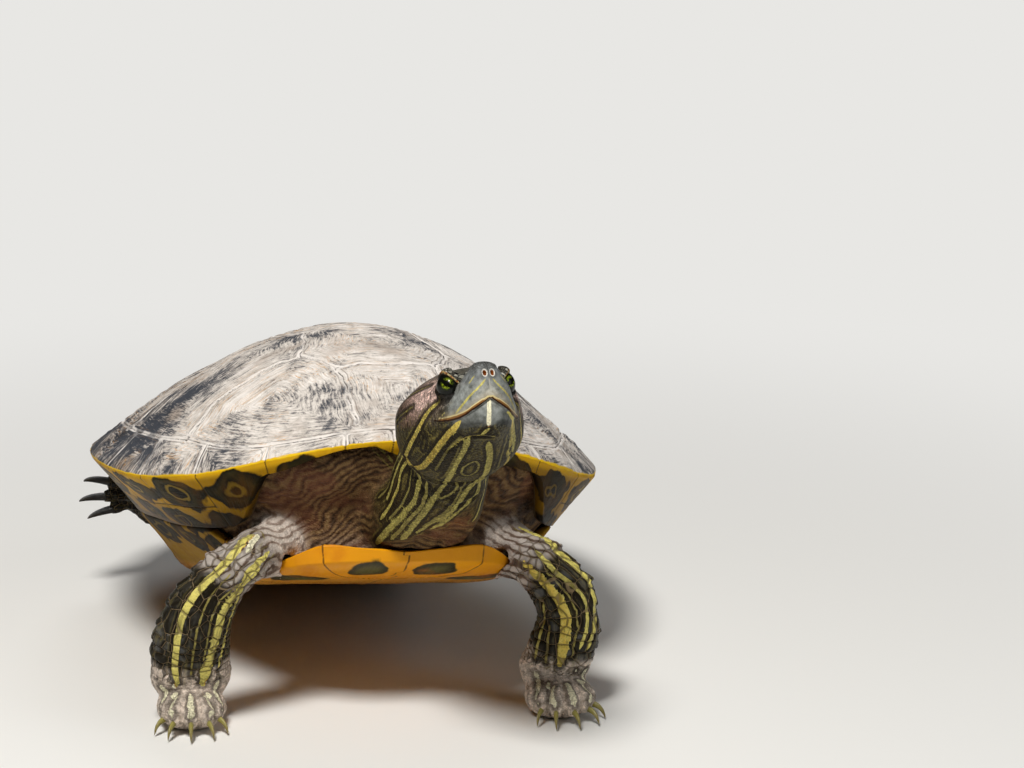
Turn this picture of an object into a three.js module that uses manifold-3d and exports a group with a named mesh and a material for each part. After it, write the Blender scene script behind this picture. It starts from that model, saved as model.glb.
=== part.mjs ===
// A red-eared slider turtle at life size, as a museum would show it: propped on its forelegs with its neck
// stretched up, the rear of its shell on the floor and one hind leg held out behind.
// Millimetres, +Z up. It faces -Y, so its right side is -X. The origin is on the floor, under the middle of its box.
import * as THREE from 'three';
import { mergeVertices } from 'three/addons/utils/BufferGeometryUtils.js';
import Module from 'manifold-3d';

const wasm = await Module();
wasm.setup();

// ---------------------------------------------------------------- driving dimensions

const GAP = 0.3; // clearance between two pieces that meet
const FINENESS = 0.12; // detail smaller than this, left by the cuts, is smoothed away
const FLOOR_DIP = 1.2; // how much of a foot or of the plastron is planed off to make its flat

const SHELL = {
  length: 250,
  halfWidth: 96.5,
  height: 99.5, // from the plastron's underside to the top of the dome
  wall: 5,
  taper: 0.01, // how much wider the rear is than the front
  apexY: 3,
  dome: { sides: 1.8, fore: 0.6 }, // how square the dome is: most in front, least behind
};
// The rim's height round the shell: high at the nuchal, low over the forelegs, arched over the hind legs.
const RIM = { mean: 47.5, fore: 2, ends: 1, arch: 6 };
const PLASTRON = { halfLength: 111, halfWidth: 54, thickness: 9, edgeRise: 5, gularLift: 6.5, gularStart: 40 };
const LIP = { front: 0.12, side: 0.28, bridge: 0.52 }; // share of the flank that belongs to the carapace
const SEAM = GAP / 40; // the same gap as a share of the flank, which is about 40 long
const POSE = { pitch: 14.4, roll: 3.9, aside: 1.5, height: 25.6 }; // height: of the middle of the plastron

const HEAD = { length: 63, cut: 53, yaw: 0.5, pitch: 26.5, roll: 2, at: [11.3, -190, 148] };
const EYE = { radius: 5.2, side: 10.2, back: 18, up: 8.4 };
const MOUTH = { corner: 21, drop: 4 };

// ---------------------------------------------------------------- small helpers

const rad = THREE.MathUtils.degToRad;
const { lerp, smoothstep } = THREE.MathUtils;
const vec = (x, y, z) => new THREE.Vector3(x, y, z);

// A power that keeps the sign, for rounded-square outlines.
const signedPower = (x, p) => Math.sign(x) * Math.abs(x) ** p;

// Rows of [position, value, value...] made into a smooth function of position.
function profile(rows) {
  const values = rows.flatMap((row) => row.slice(1));
  const curve = new THREE.CubicInterpolant(rows.map((row) => row[0]), values, rows[0].length - 1);
  return (position) => [...curve.evaluate(position)];
}

// A sphere's grid laid over any closed shape: place(angle, row) gives each vertex, row running from 0 at one
// pole to rows at the other.
function closedSurface(around, rows, place) {
  const geometry = new THREE.SphereGeometry(1, around, rows);
  const position = geometry.getAttribute('position');
  for (let i = 0; i < position.count; i++) {
    const column = i % (around + 1);
    const row = Math.floor(i / (around + 1));
    const point = place((2 * Math.PI * (column % around)) / around, row);
    position.setXYZ(i, point.x, point.y, point.z);
  }
  return positionsOnly(geometry);
}

// Only shared positions are left, which is what the boolean library needs.
function positionsOnly(geometry) {
  const bare = new THREE.BufferGeometry();
  bare.setAttribute('position', geometry.getAttribute('position').clone());
  bare.setIndex(geometry.index);
  return mergeVertices(bare, 1e-4);
}

// A solid from a closed geometry. Triangles that shrank to nothing are dropped, and one that is inside out is turned.
function solidOf(geometry) {
  const index = geometry.index.array;
  const kept = [];
  for (let i = 0; i < index.length; i += 3) {
    const [a, b, c] = index.slice(i, i + 3);
    if (a !== b && b !== c && c !== a) kept.push(a, b, c);
  }
  const build = (triangles) => new wasm.Manifold(new wasm.Mesh({
    numProp: 3,
    vertProperties: new Float32Array(geometry.getAttribute('position').array),
    triVerts: new Uint32Array(triangles),
  }));
  const solid = build(kept);
  return solid.volume() > 0 ? solid : build(kept.reverse());
}

// The same shape a gap larger all round, for cutting a neighbour clear of it.
function grown(geometry, by = GAP) {
  const turned = Math.sign(signedVolume(geometry));
  const larger = geometry.clone();
  larger.computeVertexNormals();
  const position = larger.getAttribute('position');
  const normal = larger.getAttribute('normal');
  for (let i = 0; i < position.count; i++) {
    const at = vec().fromBufferAttribute(position, i);
    at.addScaledVector(vec().fromBufferAttribute(normal, i), by * turned);
    position.setXYZ(i, at.x, at.y, at.z);
  }
  return solidOf(larger).add(solidOf(geometry));
}

function signedVolume(geometry) {
  const position = geometry.getAttribute('position');
  const index = geometry.index.array;
  let total = 0;
  for (let i = 0; i < index.length; i += 3) {
    const [a, b, c] = [0, 1, 2].map((k) => vec().fromBufferAttribute(position, index[i + k]));
    total += a.dot(b.cross(c)) / 6;
  }
  return total;
}

const largest = (solid) => solid.decompose().reduce((a, b) => (b.volume() > a.volume() ? b : a));
const without = (solid, ...cutters) => largest(cutters.reduce((left, cutter) => left.subtract(cutter), solid));
const joined = (...solids) => solids.reduce((a, b) => a.add(b));
const onFloor = (solid) => solid.trimByPlane([0, 0, 1], 0);

// The part of a solid on the side of a plane that its direction points to.
function beyond(solid, point, direction) {
  const normal = direction.clone().normalize();
  return solid.trimByPlane(normal.toArray(), normal.dot(point) + GAP / 2);
}

// Both sides of a thin cut.
const parted = (solid, point, direction) =>
  [beyond(solid, point, direction.clone().negate()), beyond(solid, point, direction)].map(largest);

function geometryOf(solid) {
  const { vertProperties, triVerts } = solid.simplify(FINENESS).getMesh();
  const geometry = new THREE.BufferGeometry();
  geometry.setAttribute('position', new THREE.BufferAttribute(vertProperties, 3));
  geometry.setIndex(new THREE.BufferAttribute(triVerts, 1));
  geometry.computeVertexNormals();
  return geometry;
}

// A limb, neck, digit or claw: rounded sections swept along a smooth line.
// Each station is [point, half-width, half-thickness]; across is the direction in which half-width is measured.
function limb(stations, across, { around = 12, rows = 12, blunt = 8 } = {}) {
  const line = new THREE.CatmullRomCurve3(stations.map(([point]) => point), false, 'centripetal');
  const lengths = stations.map((_, i) => i / (stations.length - 1));
  const sizeAt = profile(stations.map(([, width, thickness], i) => [lengths[i], width, thickness]));
  return closedSurface(around, rows, (angle, row) => {
    const t = (1 - Math.cos((Math.PI * row) / rows)) / 2;
    const end = Math.sqrt(Math.max(0, 1 - Math.abs(2 * t - 1) ** blunt));
    const tangent = line.getTangent(t);
    const side = across.clone().addScaledVector(tangent, -across.dot(tangent)).normalize();
    const front = side.clone().cross(tangent);
    const [width, thickness] = sizeAt(t);
    return line.getPoint(t)
      .addScaledVector(side, width * end * Math.cos(angle))
      .addScaledVector(front, thickness * end * Math.sin(angle));
  });
}

const ball = (radius, around = 12, rows = 8) => positionsOnly(new THREE.SphereGeometry(radius, around, rows));

// ---------------------------------------------------------------- where the shell and the head are

// Pitched up in front, rolled a little to its left, and set so that the plastron's rear edge is on the floor.
const shellPose = new THREE.Matrix4()
  .makeTranslation(POSE.aside, 0, POSE.height - FLOOR_DIP)
  .multiply(new THREE.Matrix4().makeRotationX(rad(-POSE.pitch)))
  .multiply(new THREE.Matrix4().makeRotationY(rad(POSE.roll)));
const onShell = (x, y, z) => vec(x, y, z).applyMatrix4(shellPose);

const headPose = new THREE.Matrix4()
  .makeTranslation(...HEAD.at)
  .multiply(new THREE.Matrix4().makeRotationZ(rad(HEAD.yaw)))
  .multiply(new THREE.Matrix4().makeRotationX(rad(-HEAD.pitch)))
  .multiply(new THREE.Matrix4().makeRotationY(rad(HEAD.roll)));
const onHead = (x, y, z) => vec(x, y, z).applyMatrix4(headPose);

// ---------------------------------------------------------------- shell
// Each piece of the shell is worked out round an angle, 0 at the snout end and PI at the tail. "Flank" is the
// sloping side from the rim (share 0) down and in to the edge of the plastron (share 1).

function rimAt(angle) {
  const [s, c] = [Math.sin(angle), Math.cos(angle)];
  return vec(
    SHELL.halfWidth * signedPower(s, 0.99) * (1 - SHELL.taper * c),
    (-SHELL.length / 2) * signedPower(c, 0.96),
    RIM.mean + RIM.fore * c + RIM.ends * Math.cos(2 * angle) + RIM.arch * Math.cos(3 * angle),
  );
}

function plastronEdgeAt(angle) {
  const [s, c] = [Math.sin(angle), Math.cos(angle)];
  return vec(PLASTRON.halfWidth * signedPower(s, 0.55), -PLASTRON.halfLength * signedPower(c, 0.62), PLASTRON.edgeRise);
}

function fromFront(angle) {
  const degrees = THREE.MathUtils.radToDeg(angle);
  return Math.min(degrees, 360 - degrees);
}

// 1 where the bridge joins the two halves of the shell, 0 at the openings for the neck, legs and tail.
const bridgeAt = (angle) =>
  smoothstep(fromFront(angle), 46, 64) * (1 - smoothstep(fromFront(angle), 108, 121));

// How much of the flank the carapace's turned-under edge takes up.
function lipAt(angle) {
  const open = lerp(LIP.front, LIP.side, smoothstep(fromFront(angle), 35, 75));
  return lerp(open, LIP.bridge - SEAM / 2, bridgeAt(angle));
}

// The front of the plastron bends up towards the neck.
function gularLift(y) {
  const reach = PLASTRON.halfLength - PLASTRON.gularStart;
  return PLASTRON.gularLift * Math.max(0, (-y - PLASTRON.gularStart) / reach) ** 2;
}

// A point on the flank, moved inwards from the outer face by depth.
function flankAt(angle, share, depth = 0) {
  const rim = rimAt(angle);
  const edge = plastronEdgeAt(angle);
  const inwards = vec(edge.x - rim.x, edge.y - rim.y, 0);
  const drop = rim.z - edge.z;
  const run = inwards.length();
  const slope = Math.hypot(run, drop);
  return rim.lerp(edge, share)
    .addScaledVector(inwards.normalize(), (depth * drop) / slope)
    .add(vec(0, 0, (depth * run) / slope));
}

// A point on the dome, rho being 0 at the apex and 1 at the rim; depth moves it inwards.
function domeAt(angle, rho, depth = 0) {
  const rim = rimAt(angle);
  const outwards = vec(rim.x, rim.y - SHELL.apexY, 0);
  const reach = outwards.length() - 1.6 * depth;
  const top = SHELL.height - depth;
  const low = rim.z - 0.2 * depth;
  const z = low + (top - low) * (1 - rho ** (SHELL.dome.sides + SHELL.dome.fore * Math.cos(angle)));
  return outwards.setLength(Math.max(reach * rho, 1e-9)).add(vec(0, SHELL.apexY, z));
}

const AROUND = 36;

function carapaceGeometry() {
  const outer = [0, 0.2, 0.4, 0.58, 0.73, 0.85, 0.94, 1];
  const inner = [0.96, 0.8, 0.55, 0.28, 0];
  const lipRows = 2;
  const rows = outer.length + 2 * lipRows + inner.length - 1;
  return closedSurface(AROUND, rows, (angle, row) => {
    const lip = lipAt(angle);
    if (row < outer.length) return domeAt(angle, outer[row]);
    const step = row - outer.length;
    if (step < lipRows) return flankAt(angle, (lip * (step + 1)) / lipRows);
    if (step < 2 * lipRows) {
      const share = lerp(lip, lip / 2, (step - lipRows) / (lipRows - 1));
      return flankAt(angle, share, SHELL.wall * 0.8);
    }
    return domeAt(angle, inner[step - 2 * lipRows], SHELL.wall);
  });
}

function plastronGeometry() {
  const under = [0, 0.45, 0.8, 0.93, 0.98];
  const inner = [0.9, 0.6, 0.3, 0];
  const sideRows = 3;
  const rows = under.length + 2 * sideRows + inner.length - 1;
  const plate = (angle, rho, z) => {
    const edge = plastronEdgeAt(angle);
    return vec(edge.x * rho, edge.y * rho, z + gularLift(edge.y * rho));
  };
  return closedSurface(AROUND, rows, (angle, row) => {
    const bridge = bridgeAt(angle);
    if (row < under.length) return plate(angle, under[row], PLASTRON.edgeRise * under[row] ** 12);
    const step = row - under.length;
    const lift = (1 - bridge) * gularLift(plastronEdgeAt(angle).y);
    if (step < sideRows) {
      const top = lerp(0.9, LIP.bridge + SEAM / 2, bridge);
      return flankAt(angle, lerp(1, top, step / (sideRows - 1))).add(vec(0, 0, lift));
    }
    if (step < 2 * sideRows) {
      const up = (step - sideRows) / (sideRows - 1);
      const share = lerp(lerp(0.91, LIP.bridge + SEAM / 2, bridge), 1, up);
      const depth = lerp(lerp(4, SHELL.wall * 0.8, bridge), lerp(7, 6, bridge), up);
      return flankAt(angle, share, depth).add(vec(0, 0, lift));
    }
    return plate(angle, inner[step - 2 * sideRows], PLASTRON.thickness);
  });
}

// The body inside the shell. It runs to the middle of the walls, which are then cut away, and sinks back from
// the openings, where its skin shows.
function trunkGeometry() {
  const top = [0, 0.3, 0.55, 0.78, 0.95];
  const side = [0.1, 0.3, 0.5, 0.7, 0.9];
  const floor = [0.85, 0.5, 0];
  const rows = top.length + side.length + floor.length - 1;
  return closedSurface(24, rows, (angle, row) => {
    if (row < top.length) return domeAt(angle, top[row], SHELL.wall / 2);
    const step = row - top.length;
    if (step < side.length) {
      const share = side[step];
      const sunk = 13 * (1 - bridgeAt(angle)) * Math.sin(Math.PI * smoothstep(share, 0.1, 1.15));
      return flankAt(angle, share, SHELL.wall / 2 + sunk);
    }
    const rho = floor[step - side.length];
    const edge = plastronEdgeAt(angle);
    return vec(edge.x * rho, edge.y * rho, PLASTRON.thickness / 2 + gularLift(edge.y * rho));
  });
}

// ---------------------------------------------------------------- head and neck

// The head runs back from the snout along its own Y: half-width, top and bottom at each distance.
const headSection = profile([
  [0, 0, 4.5, 4.5],
  [1, 4.5, 11, -3],
  [3, 7, 13, -9],
  [8, 10.5, 15, -12],
  [17, 14, 17.5, -14.5],
  [28, 18.5, 19.5, -17.5],
  [40, 22.5, 20, -20.5],
  [49, 22.3, 18.5, -20],
  [58, 17.5, 15, -17],
  [HEAD.length, 0, 0, 0],
]);

function headGeometry() {
  const rows = 16;
  return closedSurface(22, rows, (angle, row) => {
    const back = (HEAD.length * (1 - Math.cos((Math.PI * row) / rows))) / 2;
    const [width, top, bottom] = headSection(back);
    const middle = (top + bottom) / 2;
    const x = width * signedPower(Math.cos(angle), 0.92);
    const z = middle + ((top - bottom) / 2) * signedPower(Math.sin(angle), 0.92);
    return onHead(x, back, z);
  });
}

const neckGeometry = () => limb([
  [vec(4, -56, 66), 21, 19],
  [vec(9, -90, 74), 20, 18],
  [vec(11, -114, 88), 18, 17],
  [vec(10, -127, 102), 17, 18],
  [onHead(0, 44, -2), 16, 15],
], vec(1, 0, 0), { around: 16, rows: 11 });

// A prism under the mouth line, which separates the lower jaw; clear widens it by the gap.
function jawPrism(clear) {
  const outline = new THREE.Shape();
  outline.moveTo(-6, 1 + clear);
  outline.lineTo(0, clear);
  outline.quadraticCurveTo(MOUTH.corner * 0.6, clear - 1, MOUTH.corner + clear, clear - MOUTH.drop);
  outline.quadraticCurveTo(MOUTH.corner + 6 + clear, -11, MOUTH.corner + clear - 2, -40);
  outline.lineTo(-6, -40);
  outline.closePath();
  const prism = new THREE.ExtrudeGeometry(outline, { depth: 80, bevelEnabled: false, curveSegments: 5 });
  // The outline's x is the head's Y and its y is the head's Z.
  prism.applyMatrix4(new THREE.Matrix4().makeBasis(vec(0, 1, 0), vec(0, 0, 1), vec(1, 0, 0)).setPosition(-40, 0, 0));
  return solidOf(positionsOnly(prism.applyMatrix4(headPose)));
}

const eyeGeometry = (side) =>
  ball(EYE.radius, 14, 8).applyMatrix4(new THREE.Matrix4().setPosition(onHead(side * EYE.side, EYE.back, EYE.up)));

// ---------------------------------------------------------------- feet

// Digits and claws fanned round a palm. heading and spread are in degrees, the heading counted from -Y towards
// +X; tilt turns the whole foot, made flat on the floor, to where it is held.
const FOOT = {
  fore: { digits: 5, spread: 25, palm: [13, 12, 7.5], root: 6, reach: 16.5, knuckle: 8.5, radius: 3.7, claw: 8 },
  hind: { digits: 4, spread: 16, palm: [15, 17, 5], root: 8, reach: 27, knuckle: 6, radius: 3.4, claw: 10 },
};

function footPieces(kind, pose) {
  const foot = FOOT[kind];
  const place = (angle, reach, height) =>
    vec(Math.sin(angle) * reach, -Math.cos(angle) * reach, height).applyMatrix4(pose);
  const palm = ball(1, 12, 6).scale(...foot.palm).translate(0, 0, foot.palm[2] - FLOOR_DIP).applyMatrix4(pose);
  const digits = [];
  const claws = [];
  for (let i = 0; i < foot.digits; i++) {
    const place01 = i / (foot.digits - 1);
    const angle = rad(foot.spread * (i - (foot.digits - 1) / 2));
    const reach = foot.reach - 3.5 * (2 * place01 - 1) ** 2;
    const across = vec(Math.cos(angle), Math.sin(angle), 0).transformDirection(pose);
    digits.push(limb([
      [place(angle, foot.root, foot.knuckle), foot.radius, foot.radius],
      [place(angle, (foot.root + reach) / 2, foot.knuckle + 0.5), foot.radius + 0.3, foot.radius],
      [place(angle, reach, 3.4), foot.radius - 0.3, foot.radius - 0.4],
    ], across, { around: 6, rows: 5, blunt: 4 }));
    claws.push(limb([
      [place(angle, reach - 3.5, 4.6), 1.5, 1.7],
      [place(angle, reach + foot.claw * 0.45, 4), 1.35, 1.5],
      [place(angle, reach + foot.claw, 1.1), 0.45, 0.5],
    ], across, { around: 6, rows: 5 }));
  }
  return { palm, digits, claws };
}

const footPose = (point, heading, tilt = [0, 0, 0]) => new THREE.Matrix4()
  .makeTranslation(point.x, point.y, point.z)
  .multiply(new THREE.Matrix4().makeRotationFromEuler(new THREE.Euler(...tilt.map(rad), 'ZYX')))
  .multiply(new THREE.Matrix4().makeRotationZ(rad(heading)));

// ---------------------------------------------------------------- legs

// Each leg: its line from inside the shell to the palm, the shares of that line where the elbow (or knee) and
// the wrist (or ankle) are, and its foot.
const LEGS = {
  foreleg_right: {
    kind: 'fore',
    stations: [
      [onShell(-24, -58, 30), 15, 15],
      [vec(-41, -80, 64), 12, 12],
      [vec(-54, -87, 62), 11, 10.5],
      [vec(-67, -89, 53), 10, 11],
      [vec(-73, -88, 42), 10, 13.5],
      [vec(-74, -82, 29), 9.5, 15],
      [vec(-73.5, -78, 18), 9, 14.5],
      [vec(-74, -80, 8), 7, 14],
    ],
    across: vec(0, 1, 0),
    cuts: [0.4, 0.84],
    foot: footPose(vec(-74.5, -84, 0), -12),
  },
  foreleg_left: {
    kind: 'fore',
    stations: [
      [onShell(24, -58, 30), 15, 15],
      [vec(40, -76, 58), 12.5, 12.5],
      [vec(50, -87, 56), 11.5, 11.5],
      [vec(60, -96, 50), 10.5, 11.5],
      [vec(66, -101, 38), 10, 12],
      [vec(63, -101, 28), 9.5, 12.5],
      [vec(60, -98, 17), 9, 12.5],
      [vec(60, -101, 8), 7, 12.5],
    ],
    across: vec(0, 1, 0),
    cuts: [0.4, 0.84],
    foot: footPose(vec(60, -105, 0), 6),
  },
  hindleg_right: {
    kind: 'hind',
    stations: [
      [onShell(-22, 46, 30), 16, 15],
      [onShell(-36, 66, 28), 16, 15],
      [vec(-40, 82, 31), 13, 12],
      [vec(-45, 88, 32), 10, 8],
      [vec(-50, 87, 33), 10, 6],
    ],
    across: vec(0, 0, 1),
    cuts: [0.45, 0.8],
    foot: footPose(vec(-50, 85, 33), -80, [-80, 0, 8]),
  },
  hindleg_left: {
    kind: 'hind',
    stations: [
      [onShell(22, 46, 28), 16, 14],
      [onShell(42, 66, 24), 16, 14],
      [vec(58, 82, 24), 13.5, 11],
      [vec(66, 94, 15), 11, 8],
      [vec(70, 102, 7), 10, 6],
    ],
    across: vec(0, 1, 0.4),
    cuts: [0.45, 0.8],
    foot: footPose(vec(72, 106, 0), 140),
  },
};

const SEGMENTS = { fore: ['upper_arm', 'forearm', 'forefoot'], hind: ['thigh', 'shank', 'hind_foot'] };

function legPieces(name, leg) {
  const [limbName, side] = name.split('_');
  const geometry = limb(leg.stations, leg.across);
  const { palm, digits, claws } = footPieces(leg.kind, leg.foot);
  const clawSolids = claws.map(solidOf).map(onFloor);
  const flesh = onFloor(joined(solidOf(geometry), solidOf(palm), ...digits.map(solidOf)));
  const seated = without(flesh, ...claws.map((claw) => grown(claw)));
  const line = new THREE.CatmullRomCurve3(leg.stations.map(([point]) => point), false, 'centripetal');
  const [upper, rest] = parted(seated, line.getPoint(leg.cuts[0]), line.getTangent(leg.cuts[0]));
  const [lower, foot] = parted(rest, line.getPoint(leg.cuts[1]), line.getTangent(leg.cuts[1]));
  const [upperName, lowerName, footName] = SEGMENTS[leg.kind];
  return {
    core: [geometry, palm],
    pieces: new Map([
      [`${upperName}_${side}`, upper],
      [`${lowerName}_${side}`, lower],
      [`${footName}_${side}`, foot],
      ...clawSolids.map((claw, i) => [`claw_${limbName}_${side}_${i + 1}`, claw]),
    ]),
  };
}

// The tail comes out under the rear rim and lies along the floor, curled to the left.
const tailGeometry = () => limb([
  [onShell(0, 78, 24), 14, 11],
  [onShell(2, 104, 17), 11, 9],
  [vec(8, 122, 9), 7, 7.5],
  [vec(20, 138, 4.2), 4.5, 5],
  [vec(36, 145, 2.2), 2, 2.6],
], vec(1, 0, 0), { around: 10, rows: 9, blunt: 5 });

// ---------------------------------------------------------------- assembly

const COLOURS = {
  shell: [0x9c9184, 0.75],
  plastron: [0xd9971a, 0.4],
  skin: [0x4a4636, 0.55],
  claw: [0x2c2a22, 0.4],
  eye: [0x8fa020, 0.1],
};

const model = new THREE.Group();

function addPiece(name, solid, finish) {
  const [color, roughness] = COLOURS[finish];
  const material = new THREE.MeshStandardMaterial({ color, roughness, metalness: 0 });
  const mesh = new THREE.Mesh(geometryOf(solid), material);
  mesh.name = name;
  model.add(mesh);
}

const carapace = carapaceGeometry().applyMatrix4(shellPose);
const plastron = plastronGeometry().applyMatrix4(shellPose);
const trunk = trunkGeometry().applyMatrix4(shellPose);
const shellCutters = [grown(carapace), grown(plastron)];
const neck = neckGeometry();
const tail = tailGeometry();
const eyes = [-1, 1].map(eyeGeometry);
const legs = Object.entries(LEGS).map(([name, leg]) => legPieces(name, leg));

addPiece('carapace', solidOf(carapace), 'shell');
addPiece('plastron', onFloor(solidOf(plastron)), 'plastron');

// Head and neck are one form, cut apart behind the jaws; the lower jaw is then cut along the mouth.
const column = joined(solidOf(headGeometry()), solidOf(neck));
const [wholeHead, neckSolid] = parted(column, onHead(0, HEAD.cut, 0), vec(0, 1, 0).transformDirection(headPose));
const seatedHead = without(wholeHead, ...eyes.map((eye) => grown(eye)));
addPiece('head', without(seatedHead, jawPrism(GAP)), 'skin');
addPiece('lower_jaw', largest(seatedHead.intersect(jawPrism(0))), 'skin');
addPiece('neck', without(neckSolid, ...shellCutters), 'skin');
eyes.forEach((eye, i) => addPiece(['eye_right', 'eye_left'][i], solidOf(eye), 'eye'));

const inTrunk = [neck, tail, ...legs.flatMap((leg) => leg.core)].map((geometry) => grown(geometry));
addPiece('trunk', without(solidOf(trunk), ...shellCutters, ...inTrunk), 'skin');
addPiece('tail', onFloor(without(solidOf(tail), ...shellCutters)), 'skin');

for (const { pieces } of legs) {
  for (const [name, solid] of pieces) {
    const isClaw = name.startsWith('claw');
    addPiece(name, isClaw ? solid : without(solid, ...shellCutters, inTrunk[0]), isClaw ? 'claw' : 'skin');
  }
}

// The origin goes to the floor under the middle of the model's box.
const box = new THREE.Box3().setFromObject(model);
const centre = box.getCenter(vec());
model.position.set(-centre.x, -centre.y, 0);

export default model;
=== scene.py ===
# %% [markdown]
# # A red-eared slider, life size
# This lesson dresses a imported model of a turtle: a shell in two halves, one skin over all the flesh, two
# eyes and eighteen claws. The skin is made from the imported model's own solids, and the shell, the eyes
# and the claws repeat its sizes. Each step below says what the piece is on the living animal, how it
# could be made, and why it is made this way.

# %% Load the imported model
import math

import bpy
import numpy as np
from mathutils import Matrix, Vector
from mathutils.bvhtree import BVHTree
from mathutils.kdtree import KDTree


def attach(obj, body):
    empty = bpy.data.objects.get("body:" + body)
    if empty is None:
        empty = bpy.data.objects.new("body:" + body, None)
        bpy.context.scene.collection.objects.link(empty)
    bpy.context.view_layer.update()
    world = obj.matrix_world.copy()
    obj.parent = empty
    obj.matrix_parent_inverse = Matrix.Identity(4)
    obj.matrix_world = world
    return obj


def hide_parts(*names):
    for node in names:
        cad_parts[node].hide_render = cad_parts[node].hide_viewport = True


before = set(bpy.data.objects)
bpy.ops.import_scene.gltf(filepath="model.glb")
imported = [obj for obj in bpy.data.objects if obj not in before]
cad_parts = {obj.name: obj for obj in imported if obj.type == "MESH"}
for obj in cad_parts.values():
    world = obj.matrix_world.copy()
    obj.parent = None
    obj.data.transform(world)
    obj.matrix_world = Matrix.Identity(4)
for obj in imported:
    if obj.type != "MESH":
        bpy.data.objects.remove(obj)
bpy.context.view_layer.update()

# %% [markdown]
# ## Where things are
# The animal faces -Y, so its right side is -X. Lengths here are millimetres, and are turned into metres
# only when a mesh is written. The limbs are placed from a point on the ground under the shell, while the
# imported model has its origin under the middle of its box, a little to the left and forward of that. The
# shell and the head each have a frame of their own, because a scute or an eyelid is easy to place along
# the shell or the head, and hard to place in the room.

# %% The shell's frame and the head's frame
MM = 0.001
BOX_MIDDLE = (4.534, -23.005)
SHELL_PITCH, SHELL_ROLL = 14.4, 3.9
HEAD_PITCH, HEAD_ROLL, HEAD_YAW = 26.5, 2, 0.5


def at(x, y, z):
    """A place measured from the ground under the shell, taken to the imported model's origin."""
    return x - BOX_MIDDLE[0], y - BOX_MIDDLE[1], z


def turned(axis, degrees):
    return Matrix.Rotation(math.radians(degrees), 4, axis)


SHELL_FRAME = Matrix.Translation(at(1.5, 0, 24.4)) @ turned("X", -SHELL_PITCH) @ turned("Y", SHELL_ROLL)
HEAD_FRAME = (Matrix.Translation(at(11.3, -190, 148))
              @ turned("Z", HEAD_YAW) @ turned("X", -HEAD_PITCH) @ turned("Y", HEAD_ROLL))


def carried(points, frame_matrix):
    """Points, one in each row, taken out of a frame into the room."""
    m = np.array(frame_matrix)
    return np.asarray(points, float) @ m[:3, :3].T + m[:3, 3]


def brought(points, frame_matrix):
    """Points in the room, taken into a frame."""
    return carried(points, frame_matrix.inverted())


print("the shell is pitched up", SHELL_PITCH, "degrees, the head", HEAD_PITCH)

# %% [markdown]
# ## Camera
# A long lens a little over two metres away flattens the animal as a portrait lens does. It looks down
# 15.5 degrees from the animal's right front. A free camera could be aimed by eye, but one worked out from
# an angle, a distance and a point to look at is easier to read and to change.

# %% Place the camera
VIEW_AZIMUTH, VIEW_HEIGHT, VIEW_DISTANCE = math.radians(-14.5), math.radians(15.5), 2.2
LOOKED_AT = Vector((0.0651, 0.0241, 0.0977))
LENS, FILM_WIDTH = 201.1, 36

towards_camera = Vector((math.sin(VIEW_AZIMUTH) * math.cos(VIEW_HEIGHT),
                         -math.cos(VIEW_AZIMUTH) * math.cos(VIEW_HEIGHT),
                         math.sin(VIEW_HEIGHT)))
bpy.ops.object.camera_add(location=LOOKED_AT + towards_camera * VIEW_DISTANCE,
                          rotation=towards_camera.to_track_quat("Z", "Y").to_euler())
camera = bpy.context.object
camera.name = "camera"
camera.data.lens, camera.data.sensor_width = LENS, FILM_WIDTH
camera.data.clip_end = 50
bpy.context.scene.camera = camera
bpy.context.scene.view_settings.view_transform = "Standard"
print("camera stands at", [round(c, 3) for c in camera.location])

# %% [markdown]
# ## Helpers for painting and for meshes
# A material is a small chain of nodes, and clicking it together in the node editor is how most people
# start. In code the same chain is shorter when one helper adds a node, sets it and plugs it in. The mesh
# helpers read and write all of a piece's points at once, which is what makes a surface of a hundred
# thousand points quick.

# %% A palette that adds nodes
class Value:
    """What comes out of a node. A sum written with values adds the nodes that work it out."""

    def __init__(self, chain, socket):
        self.chain, self.socket = chain, socket

    def __add__(self, other):
        return self.chain.math("ADD", self, other)

    def __sub__(self, other):
        return self.chain.math("SUBTRACT", self, other)

    def __rsub__(self, other):
        return self.chain.math("SUBTRACT", other, self)

    def __mul__(self, other):
        return self.chain.math("MULTIPLY", self, other)

    def __truediv__(self, other):
        return self.chain.math("DIVIDE", self, other)

    def __abs__(self):
        return self.chain.math("ABSOLUTE", self)


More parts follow.
